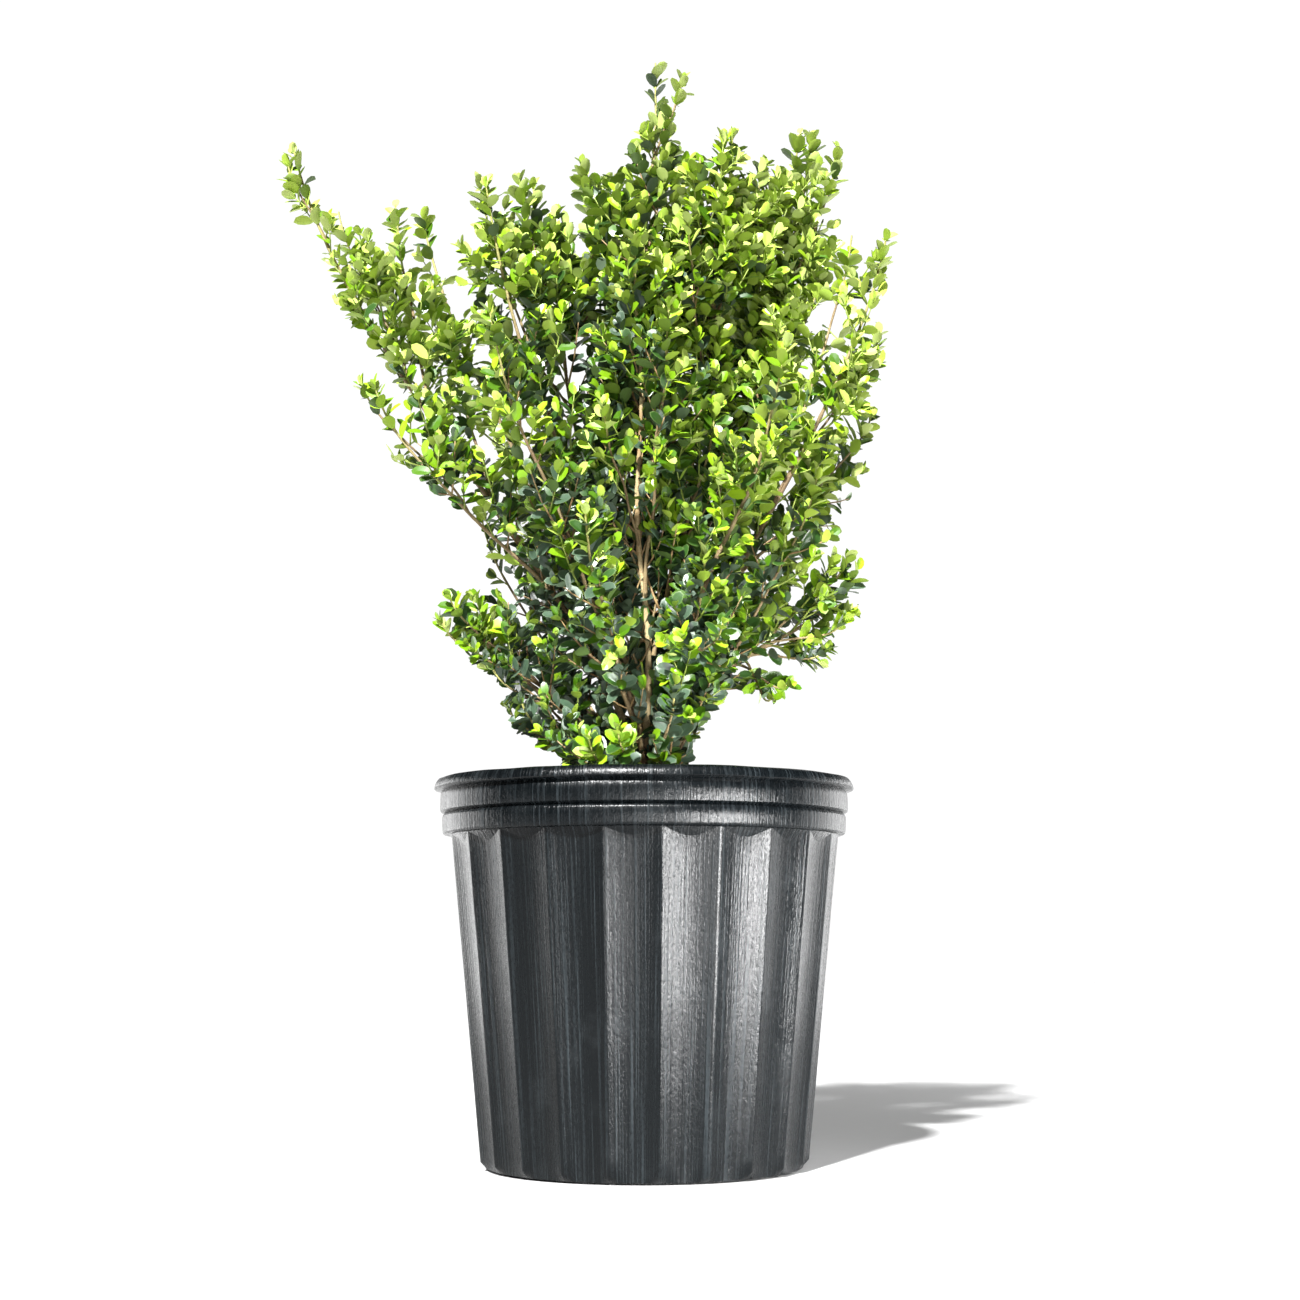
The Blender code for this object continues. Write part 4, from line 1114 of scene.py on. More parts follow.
def grow_limbs() -> list[Limb]:
    """The trunk, the boughs and the shoots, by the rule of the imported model."""
    line = growth_line(TRUNK_FOOT, TRUNK_TIP, 1)
    trunk = Limb("trunk", line, TRUNK_RADIUS, TRUNK_BARE, True)
    limbs = {"trunk": trunk}
    tall = TRUNK_TIP.z - TRUNK_FOOT.z
    for seed, (name, (parent, fork, tip, radius, bare)) in enumerate(BOUGHS.items(), 2):
        foot = limbs[parent].point(fork / tall if parent == "trunk" else fork)
        limbs[name] = Limb(name, growth_line(foot, Vector(tip), seed), radius, bare)
    for seed, (name, (rise, tip)) in enumerate(SHOOTS.items(), 60):
        share = rise / tall
        outward = Vector(tip) - trunk.point(share)
        outward.z = 0.0
        outward.normalize()
        away = trunk.radius_at(share) + CLEARANCE + SHOOT_RADIUS
        line = growth_line(trunk.point(share) + outward * away, Vector(tip), seed)
        limbs[name] = Limb(name, line, SHOOT_RADIUS, SHOOT_BARE)
    for seed, (name, (parent, share, tip, radius)) in enumerate(SPRIGS.items(), 90):
        line = growth_line(limbs[parent].point(share), Vector(tip), seed)
        limbs[name] = Limb(name, line, radius, SPRIG_BARE)
    return list(limbs.values())


@dataclass
class BarkSkin:
    """The bark of every limb: tubes with swollen nodes, ridges and a flared foot."""

    limbs: list[Limb]
    ring_gap: float = 0.0034
    node_gap: float = 0.019
    node_swell: float = 0.16
    ridge_depth: float = 0.16
    hollow: float = 0.80
    collar: float = 0.45
    collar_length: float = 0.005
    map_length: float = 0.02
    sides: int = 10
    trunk_sides: int = 16
    # the trunk's bark is tinted lighter, as painted light, and the boughs' same bark darker, as
    # painted shade
    lit_trunk_tints: tuple = ((0.44, 0.35, 0.18), (0.36, 0.26, 0.12), (0.28, 0.18, 0.08))
    shaded_bough_tints: tuple = ((0.26, 0.20, 0.095), (0.185, 0.130, 0.055), (0.115, 0.075, 0.032))

    CREASE: ClassVar[float] = math.radians(75)

    def relief(self, angle: float, along: float, seed: float) -> float:
        """The share by which the bark stands out at an angle and a distance along the stem."""
        spot = Vector((math.cos(angle) * 1.6, math.sin(angle) * 1.6, along * 90.0 + seed))
        ridges = noise.noise(spot) * self.ridge_depth
        away = (along % self.node_gap) / self.node_gap - 0.5
        return self.hollow + ridges + self.node_swell * math.exp(-((away / 0.10) ** 2))

    def tube(self, limb: Limb, seed: float) -> bpy.types.Mesh:
        """One limb's bark: a flat grid rolled round its line and closed.

        Args:
            limb: The limb.
            seed: What its relief is drawn from.

        Returns:
            The mesh, with its map and its age.
        """
        sides = self.trunk_sides if limb.is_trunk else self.sides
        length = limb.length()
        rings = max(8, round(length / self.ring_gap))
        shape = bmesh.new()
        shape.loops.layers.uv.new("stem")
        bmesh.ops.create_grid(shape, x_segments=sides, y_segments=rings, size=0.5, calc_uvs=True)
        ages = shape.verts.layers.float.new("age")
        frames = self.frames(limb, rings)
        for vert in shape.verts:
            turn, share = vert.co.x + 0.5, vert.co.y + 0.5
            centre, across, over = frames[round(share * rings)]
            angle = math.tau * turn
            radius = limb.radius_at(share) * self.relief(angle, share * length, seed)
            if not limb.is_trunk:
                radius *= 1.0 + self.collar * math.exp(-share * length / self.collar_length)
            vert[ages] = 1.0 - share
            vert.co = centre + (across * math.cos(angle) + over * math.sin(angle)) * radius
        layer = shape.loops.layers.uv["stem"]
        for face in shape.faces:
            for loop in face.loops:
                loop[layer].uv.y *= length / self.map_length
        bmesh.ops.remove_doubles(shape, verts=shape.verts[:], dist=1e-7)
        bmesh.ops.holes_fill(shape, edges=shape.edges[:], sides=0)
        bmesh.ops.recalc_face_normals(shape, faces=shape.faces[:])
        return mesh_of(shape, limb.name, self.CREASE)

    def frames(self, limb: Limb, rings: int) -> list[tuple[Vector, Vector, Vector]]:
        """A centre and two cross directions at each ring, turned as little as possible.

        Args:
            limb: The limb.
            rings: How many rings follow the first.

        Returns:
            The centre and the two directions of each ring.
        """
        found = []
        across = limb.tangent(0.0).orthogonal().normalized()
        for ring in range(rings + 1):
            tangent = limb.tangent(ring / rings)
            across = (across - tangent * across.dot(tangent)).normalized()
            found.append((limb.point(ring / rings), across, tangent.cross(across)))
        return found

    def joined(self, name: str, trunk: bool) -> bpy.types.Mesh:
        """The bark of the trunk, or that of all the other limbs, joined.

        Args:
            name: The mesh's name.
            trunk: Whether the trunk's bark is wanted.

        Returns:
            The mesh.
        """
        whole = bmesh.new()
        for number, limb in enumerate(self.limbs):
            if limb.is_trunk == trunk:
                made = self.tube(limb, number * 7.3)
                whole.from_mesh(made)
                bpy.data.meshes.remove(made)
        return mesh_of(whole, name, self.CREASE)

    def build(self) -> None:
        """The trunk's bark and the boughs' bark."""
        kinds = (
            ("trunk_bark", self.lit_trunk_tints, True, ["trunk"]),
            ("bough_bark", self.shaded_bough_tints, False, list(BOUGHS)),
        )
        for name, tints, trunk, nodes in kinds:
            finish = Bark(f"{name}_finish", *tints).material()
            dress(self.joined(name, trunk), name, [finish], nodes)


# --- leaves and twigs -----------------------------------------------------------------------

# fold, arch and lean of the leaves
LEAF_FORMS = (
    (0.07, 0.10, 0.10), (0.10, 0.16, -0.10), (0.05, 0.20, 0.18), (0.12, 0.05, 0.00),
    (0.08, -0.06, -0.14), (0.04, 0.12, 0.20), (0.14, 0.14, 0.05), (0.03, 0.22, -0.16),
)


@dataclass(frozen=True)
class LeafForm:
    """A leaf of unit length in its own outline: folded, arched, closed, and rimmed or plain.

    Its corners are the rim, the midrib above, the midrib below and, on a rimmed leaf, the inner
    edge of its pale margin. A ring runs base, four places up the right, tip, four down the left.
    """

    fold: float
    arch: float
    lean: float
    rimmed: bool

    STATIONS: ClassVar[tuple] = ((0.09, 0.38), (0.30, 0.86), (0.59, 1.0), (0.86, 0.74))
    INNER: ClassVar[float] = 0.90
    THICKNESS: ClassVar[float] = 0.024

    def points(self) -> list[tuple[float, float, float]]:
        """The corners, where across is 1 at the widest edge and along is 1 at the tip."""
        mids = [self.corner(0.0, place, 0.0) for place, _ in self.STATIONS]
        below = [self.corner(0.0, place, -self.THICKNESS) for place, _ in self.STATIONS]
        found = self.ring(1.0, 0.0) + mids + below
        return found + self.ring(self.INNER, 0.006) if self.rimmed else found

    def ring(self, spread: float, lift: float) -> list[tuple[float, float, float]]:
        """The corners of a ring, drawn in by a spread and lifted."""
        places = [(wide * spread, 0.5 + (place - 0.5) * spread) for place, wide in self.STATIONS]
        right = [self.corner(wide, place, lift) for wide, place in places]
        left = [self.corner(-wide, place, lift) for wide, place in reversed(places)]
        base = self.corner(0.0, 0.5 - 0.5 * spread, lift)
        return [base, *right, self.corner(0.0, 0.5 + 0.5 * spread, lift), *left]

    def corner(self, across: float, along: float, lift: float) -> tuple[float, float, float]:
        """One corner, raised by the fold towards the edge and dropped by the arch."""
        rise = self.fold * abs(across) ** 1.3 - self.arch * along * along + lift
        return (across + self.lean * along * along, along, rise)

    @classmethod
    def half(cls, ring: int, mids: int) -> list[tuple[int, int, int]]:
        """The triangles between a ring and a midrib, seen from above, by their first corners.

        Args:
            ring: The ring's first corner.
            mids: The midrib's first corner.

        Returns:
            Three corner numbers a triangle.
        """
        count = len(cls.STATIONS)
        right = [ring + 1 + step for step in range(count)]
        left = [ring + 2 * count + 1 - step for step in range(count)]
        rib = [mids + step for step in range(count)]
        tip = ring + count + 1
        found = [(ring, rib[0], left[0]), (ring, right[0], rib[0])]
        for step in range(count - 1):
            m, n, a, b = rib[step], rib[step + 1], left[step], left[step + 1]
            c, d = right[step], right[step + 1]
            found += [(m, n, b), (m, b, a), (m, c, d), (m, d, n)]
        return found + [(rib[-1], tip, left[-1]), (rib[-1], right[-1], tip)]

    @classmethod
    def faces(cls, rimmed: bool) -> tuple[np.ndarray, np.ndarray]:
        """The triangles of a leaf, and which of them have the under side's tint.

        Args:
            rimmed: Whether the leaf has a pale margin.

        Returns:
            The triangles, and 0 or 1 for the upper or the under side of each.
        """
        count = len(cls.STATIONS)
        around = 2 * count + 2
        inner = around + 2 * count
        top = cls.half(inner if rimmed else 0, around)
        under = [(c, b, a) for a, b, c in cls.half(0, around + count)]
        margin = []
        for here in range(around if rimmed else 0):
            after = (here + 1) % around
            margin += [(here, after, inner + after), (here, inner + after, inner + here)]
        kinds = [0] * len(top) + [1] * (len(under) + len(margin))
        return np.array(top + under + margin), np.array(kinds)

    @classmethod
    def creases(cls) -> np.ndarray:
        """A table of the corner pairs whose edge is sharp: the rim and the midrib above."""
        count = len(cls.STATIONS)
        around = 2 * count + 2
        size = 2 * around + 2 * count
        sharp = np.zeros((size, size), bool)
        rim = [(here, (here + 1) % around) for here in range(around)]
        rib = [(around + step, around + step + 1) for step in range(count - 1)]
        for a, b in rim + rib:
            sharp[a, b] = sharp[b, a] = True
        return sharp


@dataclass
class LeafRoom:
    """The room that the plant's leaves may fill, and the gaps where the sky shows through."""

    low: Vector
    high: Vector
    trunk: Limb
    lane: float = 0.0030
    lane_high: float = 0.0016
    lane_narrows: float = 0.50
    bare_from: float = 0.04
    bare_to: float = 0.72
    touch: float = 0.002
    view: float = 0.3
    shadow: float = 0.045
    mix_radius: float = 0.112
    over_mix: float = 0.236
    over_rim: float = 0.260

    @staticmethod
    def seen_at(point: Vector) -> tuple[float, float]:
        """Where a point is seen from the front, on the upright plane through the pot's middle."""
        share = -EYE.y / (point.y - EYE.y)
        return EYE.x + (point.x - EYE.x) * share, EYE.z + (point.z - EYE.z) * share

    @staticmethod
    def inside_outline(x: float, z: float) -> bool:
        """Whether a place on that plane is inside the crown's outline.

        Args:
            x: The place's distance to the right of the middle.
            z: Its height.

        Returns:
            Whether it is inside.
        """
        inside = False
        for (ax, az), (bx, bz) in zip(OUTLINE, OUTLINE[1:] + OUTLINE[:1]):
            if (az > z) != (bz > z) and x < ax + (z - az) / (bz - az) * (bx - ax):
                inside = not inside
        return inside

    def hides_trunk(self, point: Vector, way: Vector, reach: float) -> bool:
        """Whether a point stands before the bare middle stem on a line of sight.

        Args:
            point: The point.
            way: The direction that the line of sight runs in at the point.
            reach: How far in front of the stem the point may be.

        Returns:
            Whether it hides the stem.
        """
        foot, tip = self.trunk.line[0], self.trunk.line[-1]
        level = (foot.y + (tip.y - foot.y) * (point.z - foot.z) / (tip.z - foot.z)) - point.y
        if not self.touch < level < reach:
            return False
        spot = point + way * (level / way.y)
        share = (spot.z - foot.z) / (tip.z - foot.z)
        if not self.bare_from < share < self.bare_to:
            return False
        lane = self.lane if share < self.lane_narrows else self.lane_high
        return abs(spot.x - self.trunk.point(share).x) < lane

    def clear(self, point: Vector) -> bool:
        """Whether a leaf's tip may be at a point: within reach, over the pot, out of the sky.

        Args:
            point: The place.

        Returns:
            Whether it is free.
        """
        for axis in range(3):
            if not self.low[axis] < point[axis] < self.high[axis]:
                return False
        reach = math.hypot(point.x, point.y)
        if point.z < (self.over_mix if reach < self.mix_radius else self.over_rim):
            return False
        x, z = self.seen_at(point)
        if any((x - wx) ** 2 + (z - wz) ** 2 < size * size for wx, wz, size in WINDOWS):
            return False
        if self.hides_trunk(point, point - EYE, self.view):
            return False
        return not self.hides_trunk(point, -SUN, self.shadow)

    def holds(self, point: Vector) -> bool:
        """Whether a twig or the middle of a leaf may be at a point."""
        return self.clear(point) and self.inside_outline(*self.seen_at(point))


@dataclass(frozen=True)
class Daylight:
    """How light falls on the sprays, from 0 deep inside to 1 at the top and outside, painted into
    the leaves' tints.
    """

    foot: float = 0.27
    rise: float = 0.50
    dim: float = 0.03
    climb: float = 0.76
    climb_bend: float = 0.80
    waist: float = 0.055
    flare: float = 0.36
    flare_foot: float = 0.25
    flare_drop: float = 0.35
    lean: float = 0.02
    inside: float = 0.72
    depth: float = 0.48
    bright_side: float = 0.8
    bright_from: float = 0.07
    crest: float = 0.13
    crest_from: float = 0.42
    crest_span: float = 0.58
    fresh_chance: float = 0.04
    fresh_gain: float = 0.30
    spray_scatter: float = 0.15
    leaf_scatter: float = 0.17
    ripe_low: float = 0.68
    ripe_climb: float = 0.90
    ripe_foot: float = 0.33

    STEPS: ClassVar[tuple] = (
        (0.26, LeafTone.SHADE),
        (0.40, LeafTone.DEEP),
        (0.54, LeafTone.GREEN),
        (0.67, LeafTone.BRIGHT),
        (0.85, LeafTone.LIME),
    )

    def at(self, point: Vector, dice: random.Random) -> float:
        """The light that a spray gets at a point.

        Args:
            point: The middle of the spray.
            dice: The source of its own differences.

        Returns:
            The light.
        """
        height = min(max((point.z - self.foot) / self.rise, 0.0), 1.0)
        flare = self.flare * max(0.0, point.z - self.flare_foot)
        spread = self.waist + flare * (1.0 - self.flare_drop * height)
        outer = min(1.2, math.hypot(point.x + self.lean, point.y) / spread)
        fresh = self.fresh_gain if dice.random() < self.fresh_chance else 0.0
        # painted shade: sprays inside the crown get darker tints, less so towards the top
        depth = self.depth * (outer - self.inside) * (1.0 - height**3)
        # painted light: sprays right of the middle get lighter tints
        depth += self.bright_side * max(0.0, point.x - self.bright_from)
        # painted light: a band high on the crown gets lighter tints
        band = min(1.0, max(0.0, (height - self.crest_from) / self.crest_span))
        crest = self.crest * math.sin(math.pi * band)
        light = self.dim + self.climb * height**self.climb_bend + depth + crest + fresh
        return light + dice.gauss(0.0, self.spray_scatter)

    def tone(self, light: float, height: float, dice: random.Random) -> LeafTone:
        """The tint of a leaf that gets some light; low down even fresh leaves are greener.

        Args:
            light: The light of the leaf's spray.
            height: The leaf's height.
            dice: The source of its own differences.

        Returns:
            The tint.
        """
        ripest = self.ripe_low + self.ripe_climb * max(0.0, height - self.ripe_foot)
        light = min(light, ripest) + dice.gauss(0.0, self.leaf_scatter)
        for limit, tone in self.STEPS:
            if light < limit:
                return tone
        return LeafTone.PALE


@dataclass(frozen=True)
class Habit:
    """How the plant branches and leafs, with gaps and lengths in metres."""

    node_gap: float = 0.0134
    node_closing: float = 0.25
    limb_end: float = 0.010
    leafy_end: float = 0.045
    end_dimming: float = 0.20
    spur_from: float = 0.16
    spur_length: float = 0.60
    stout: float = 0.0015
    twig_angle: float = math.radians(46)
    twig_long: float = 0.066
    twig_short: float = 0.016
    twig_fade: float = 0.75
    twig_rise: float = 0.13
    twig_wander: float = 0.05
    twig_step: float = 0.010
    twig_chance: float = 0.88
    twig_radius: float = 0.00042
    twig_stoutness: float = 0.0085
    twig_tip_radius: float = 0.00038
    green_from: float = 0.45
    fork_from: float = 0.034
    fork_gap: float = 0.012
    fork_least: float = 0.006
    fork_chance: float = 0.45
    fork_shares: Span = (0.28, 0.80)
    fork_lengths: Span = (0.35, 0.75)
    fork_gain: float = 0.04
    leaf_gap: float = 0.0080
    leaf_length: float = 0.0133
    leaf_width: float = 0.0082
    leaf_lengths: Span = (0.86, 1.14)
    leaf_widths: Span = (0.88, 1.12)
    leaf_angle: float = math.radians(50)
    leaf_sway: float = 0.16
    leaf_swing: float = 0.22
    leaf_roll: float = 0.42
    leaf_middle: float = 0.65
    leaf_chance: float = 0.94
    leaf_least: float = 0.84
    leaf_swell: float = 0.22
    swell_pace: float = 1.1
    short_twig: float = 0.03
    short_bare: float = 0.3
    most_bare: float = 0.008
    long_bare: Span = (0.14, 0.30)
    gap_range: Span = (0.8, 1.2)
    tip_length: float = 0.016
    tip_closing: float = 0.45
    tip_shrinking: float = 0.16
    tip_folding: float = 0.42
    tip_gain: float = 0.24
    foot_gain: float = -0.11
    end_gap_range: Span = (0.7, 1.0)
    node_gap_range: Span = (0.75, 1.25)
    twig_range: Span = (0.45, 1.10)
    spray_middle: float = 0.7
    lone_from: float = 0.3
    lone_size: float = 0.95
    tail_gain: float = 0.10
    twig_sway: float = 0.12
    pair_scatter: float = 0.12
    node_scatter: float = 0.15
    turn_scatter: float = 0.2

    TAIL: ClassVar[tuple] = (0.030, 0.020, 0.010, 0.0)
    TIP_PAIRS: ClassVar[tuple] = (
        (0.0, math.radians(26), 0.80, 0.14),
        (math.pi / 2, math.radians(13), 0.58, 0.18),
    )

    def steps(self, length: float) -> int:
        """How many steps a twig of some length is drawn in."""
        return max(2, round(length / self.twig_step))


@dataclass
class Twig:
    """A twig's line, its radius at the foot, and whether it is still green."""

    line: list[Vector]
    radius: float
    green: bool


@dataclass
class Foliage:
    """Twigs in opposite pairs along every limb, and leaves in opposite pairs along every twig."""

    limbs: list[Limb]
    room: LeafRoom
    habit: Habit = Habit()
    daylight: Daylight = Daylight()
    twigs: list[Twig] = field(default_factory=list)
    leaves: dict[LeafTone, list[tuple]] = field(default_factory=dict)

    MOST: ClassVar[int] = 3600
    TWIG_SIDES: ClassVar[int] = 5

    def leaf(
        self,
        root: Vector,
        stem: Vector,
        outward: Vector,
        angle: float,
        size: float,
        light: float,
        dice: random.Random,
    ) -> None:
        """Adds one leaf if there is room for it.

        Args:
            root: Where it leaves its twig.
            stem: The twig's direction there.
            outward: The way it leaves, square to the twig.
            angle: Its angle from the twig.
            size: Its share of the full size.
            light: The light it gets.
            dice: The source of its own differences.
        """
        habit = self.habit
        angle += dice.gauss(0.0, habit.leaf_sway)
        swing = outward + stem.cross(outward) * dice.gauss(0.0, habit.leaf_swing)
        way = (stem * math.cos(angle) + swing * math.sin(angle)).normalized()
        length = habit.leaf_length * size * dice.uniform(*habit.leaf_lengths)
        width = habit.leaf_width * size * dice.uniform(*habit.leaf_widths)
        if not self.room.holds(root + way * length * habit.leaf_middle):
            return
        if not self.room.clear(root + way * length):
            return
        face = self.facing(root, stem, way)
        face += way.cross(face) * dice.gauss(0.0, habit.leaf_roll)
        face = (face - way * face.dot(way)).normalized()
        form = dice.randrange(len(LEAF_FORMS))
        row = (*root, *way, *face, length, width, form)
        self.leaves.setdefault(self.daylight.tone(light, root.z, dice), []).append(row)

    @staticmethod
    def facing(root: Vector, stem: Vector, way: Vector) -> Vector:
        """The way an upper side turns: along its twig, and to the sky, outward and the sun.

        Args:
            root: Where the leaf leaves its twig.
            stem: The twig's direction there.
            way: The leaf's own direction.

        Returns:
            The way, square to the leaf but of any length.
        """
        to_sky, to_outside, to_sun, to_tip, to_light = 0.50, 0.55, 0.40, 0.7, 0.8
        outside = Vector((root.x, root.y, 0.0)).normalized()
        light = UP * to_sky + outside * to_outside + SUN.normalized() * to_sun
        face = stem - way * stem.dot(way)
        return face.normalized() * to_tip + (light - way * light.dot(way)) * to_light

    def path(self, root: Vector, way: Vector, length: float, dice: random.Random) -> list[Vector]:
        """The bent line of a twig, cut short where the crown has no room for it.

        Args:
            root: Where it starts.
            way: The direction it starts in.
            length: How long it would be.
            dice: The source of its own differences.

        Returns:
            The points of the line.
        """
        steps, wander = self.habit.steps(length), self.habit.twig_wander
        points = [root]
        for _ in range(steps):
            drift = (dice.gauss(0, wander), dice.gauss(0, wander), self.habit.twig_rise)
            way = (way + Vector(drift)).normalized()
            point = points[-1] + way * (length / steps)
            if not self.room.holds(point):
                break
            points.append(point)
        return points

    def twig(
        self,
        root: Vector,
        stem: Vector,
        outward: Vector,
        length: float,
        light: float,
        dice: random.Random,
        on_limb: bool = True,
    ) -> None:
        """Grows one twig with its leaves, and its own side twigs where it is long.

        Args:
            root: Where it leaves its limb or twig.
            stem: The direction of what bears it.
            outward: The way it leaves, square to that.
            length: How long it would be.
            light: The light its spray gets.
            dice: The source of its own differences.
            on_limb: Whether a limb bears it, and not another twig.
        """
        habit = self.habit
        angle = habit.twig_angle + dice.gauss(0.0, habit.twig_sway)
        way = (stem * math.cos(angle) + outward * math.sin(angle)).normalized()
        points = self.path(root, way, length, dice)
        if len(points) < 2:
            return
        grown = length * (len(points) - 1) / habit.steps(length)
        radius = habit.twig_radius + habit.twig_stoutness * grown
        self.twigs.append(Twig(points, radius, light > habit.green_from or not on_limb))
        self.leaf_along(points, grown, light, dice)
        if on_limb and grown > habit.fork_from:
            self.fork(points, grown, light, dice)

    def fork(self, points: list[Vector], grown: float, light: float, dice: random.Random) -> None:
        """Grows the side twigs of a long twig.

        Args:
            points: The twig's line.
            grown: Its length.
            light: The light it gets.
            dice: The source of their own differences.
        """
        habit = self.habit
        light += habit.fork_gain
        turn = dice.uniform(0.0, math.tau)
        for share in np.arange(*habit.fork_shares, habit.fork_gap / grown):
            if dice.random() < habit.fork_chance:
                spot, tangent = self.on_path(points, share)
                length = grown * (1.0 - share) * dice.uniform(*habit.fork_lengths)
                length += habit.fork_least
                self.twig(spot, tangent, square_to(tangent, turn), length, light, dice, False)
            turn += dice.choice((math.pi, math.pi / 2)) + dice.gauss(0.0, habit.turn_scatter)

    @staticmethod
    def on_path(points: list[Vector], share: float) -> tuple[Vector, Vector]:
        """The point and direction at a share of a twig's line."""
        place = min(max(share, 0.0), 1.0) * (len(points) - 1)
        step = min(int(place), len(points) - 2)
        spot = points[step].lerp(points[step + 1], place - step)
        return spot, (points[step + 1] - points[step]).normalized()

    def leaf_along(
        self, points: list[Vector], grown: float, light: float, dice: random.Random
    ) -> None:
        """Leafs a twig in opposite pairs, each a quarter turn from the last, closing at the tip.

        Args:
            points: The twig's line.
            grown: Its length.
            light: The light it gets.
            dice: The source of the leaves' differences.
        """
        habit = self.habit
        if grown < habit.short_twig:
            along = min(habit.most_bare, grown * habit.short_bare)
        else:
            along = grown * dice.uniform(*habit.long_bare)
        turn = dice.uniform(0.0, math.tau)
        while along < grown:
            share = along / grown
            spot, tangent = self.on_path(points, share)
            near_tip = max(0.0, 1.0 - (grown - along) / habit.tip_length)
            swell = habit.leaf_swell * math.sin(math.pi * min(1.0, share * habit.swell_pace))
            size = (habit.leaf_least + swell) * (1.0 - habit.tip_shrinking * near_tip)
            angle = habit.leaf_angle * (1.0 - habit.tip_folding * near_tip)
            lit = light + habit.foot_gain + habit.tip_gain * near_tip
            self.pair(spot, tangent, turn, angle, size, lit, dice)
            turn += math.pi / 2 + dice.gauss(0.0, habit.pair_scatter)
            gap = habit.leaf_gap * dice.uniform(*habit.gap_range)
            along += gap * (1.0 - habit.tip_closing * near_tip)
        spot, tangent = self.on_path(points, 1.0)
        for more, angle, size, gain in habit.TIP_PAIRS:
            self.pair(spot, tangent, turn + more, angle, size, light + gain, dice)

    def pair(
        self,
        spot: Vector,
        tangent: Vector,
        turn: float,
        angle: float,
        size: float,
        light: float,
        dice: random.Random,
    ) -> None:
        """Two leaves opposite each other, less the odd one that has dropped.

        Args:
            spot: Where they leave the twig.
            tangent: The twig's direction there.
            turn: Their turn round the twig.
            angle: Their angle from the twig.
            size: Their share of the full size.
            light: The light they get.
            dice: The source of their own differences.
        """
        across = square_to(tangent, turn)
        for side in (1.0, -1.0):
            if dice.random() < self.habit.leaf_chance:
                self.leaf(spot, tangent, across * side, angle, size, light, dice)

    def limb_foliage(self, limb: Limb, seed: int) -> None:
        """Grows the twigs of one limb from where it turns leafy to its tip.

        Args:
            limb: The limb.
            seed: What its growth is drawn from.
        """
        dice, habit, length = random.Random(seed), self.habit, limb.length()
        start = limb.leafy_from * length
        along = start * (habit.spur_from if limb.radius > habit.stout else 1.0)
        turn = dice.uniform(0.0, math.tau)
        fresh, kept = FRESH.get(limb.name, 0.0), OPEN.get(limb.name, 1.0)
        while along < length - habit.limb_end:
            leafy = (along - start) / (length - start)
            stretch = habit.spur_length if leafy < 0.0 else 1.0
            leafy = max(0.0, leafy)
            spot, tangent = limb.point(along / length), limb.tangent(along / length)
            if length - along < habit.leafy_end:
                dimmed = habit.end_dimming * (length - along) / habit.leafy_end
                light = self.daylight.at(spot, dice) + fresh - dimmed
                self.pair(spot, tangent, turn, habit.leaf_angle, 1.0, light, dice)
                turn += math.pi / 2 + dice.gauss(0.0, habit.node_scatter)
                along += habit.leaf_gap * dice.uniform(*habit.end_gap_range) / kept
                continue
            fade = (1.0 - leafy) ** habit.twig_fade
            envelope = habit.twig_short + (habit.twig_long - habit.twig_short) * fade
            for side in (0.0, math.pi):
                across = square_to(tangent, turn + side + dice.gauss(0.0, habit.turn_scatter))
                reach = envelope * dice.uniform(*habit.twig_range) * stretch
                middle = spot + (tangent + across) * reach * habit.spray_middle
                light = self.daylight.at(middle, dice) + fresh
                if dice.random() < habit.twig_chance * kept:
                    self.twig(spot, tangent, across, reach, light, dice)
                elif leafy > habit.lone_from:
                    size = habit.lone_size
                    self.leaf(spot, tangent, across, habit.leaf_angle, size, light, dice)
            turn += math.pi / 2 + dice.gauss(0.0, habit.node_scatter)
            gap = habit.node_gap * dice.uniform(*habit.node_gap_range)
            along += gap * (1.0 - habit.node_closing * leafy)
        tail = [limb.point(1.0 - back / length) for back in habit.TAIL]
        light = self.daylight.at(tail[-1], dice) + habit.tail_gain + fresh
        self.leaf_along(tail, habit.TAIL[0], light, dice)

    def twig_mesh(self, name: str, chosen: list[Twig]) -> bpy.types.Mesh:
        """Tapering tubes of a few sides along twigs, closed and joined.

        Args:
            name: The mesh's name.
            chosen: The twigs.

        Returns:
            The mesh.
        """
        sides, thin = self.TWIG_SIDES, self.habit.twig_tip_radius
        points, faces = [], []
        ring_turns = [math.tau * side / sides for side in range(sides)]
        for twig in chosen:
            line, thick = twig.line, twig.radius
            first = len(points)
            across = (line[1] - line[0]).orthogonal().normalized()
            for number, centre in enumerate(line):
                after = line[min(number + 1, len(line) - 1)]
                before = line[max(number - 1, 0)]
                tangent = (after - before).normalized()
                across = (across - tangent * across.dot(tangent)).normalized()
                over = tangent.cross(across)
                radius = thick + (thin - thick) * number / (len(line) - 1)
                for turn in ring_turns:
                    away = across * math.cos(turn) + over * math.sin(turn)
                    points.append(centre + away * radius)
            for number in range(len(line) - 1):
                low = first + number * sides
                for side in range(sides):
                    a, b = low + side, low + (side + 1) % sides
                    faces += [(a, b, b + sides), (a, b + sides, a + sides)]
            last = first + (len(line) - 1) * sides
            for side in range(1, sides - 1):
                faces.append((first, first + side + 1, first + side))
                faces.append((last, last + side, last + side + 1))
        return mesh_from_arrays(name, np.array([p[:] for p in points]), np.array(faces))

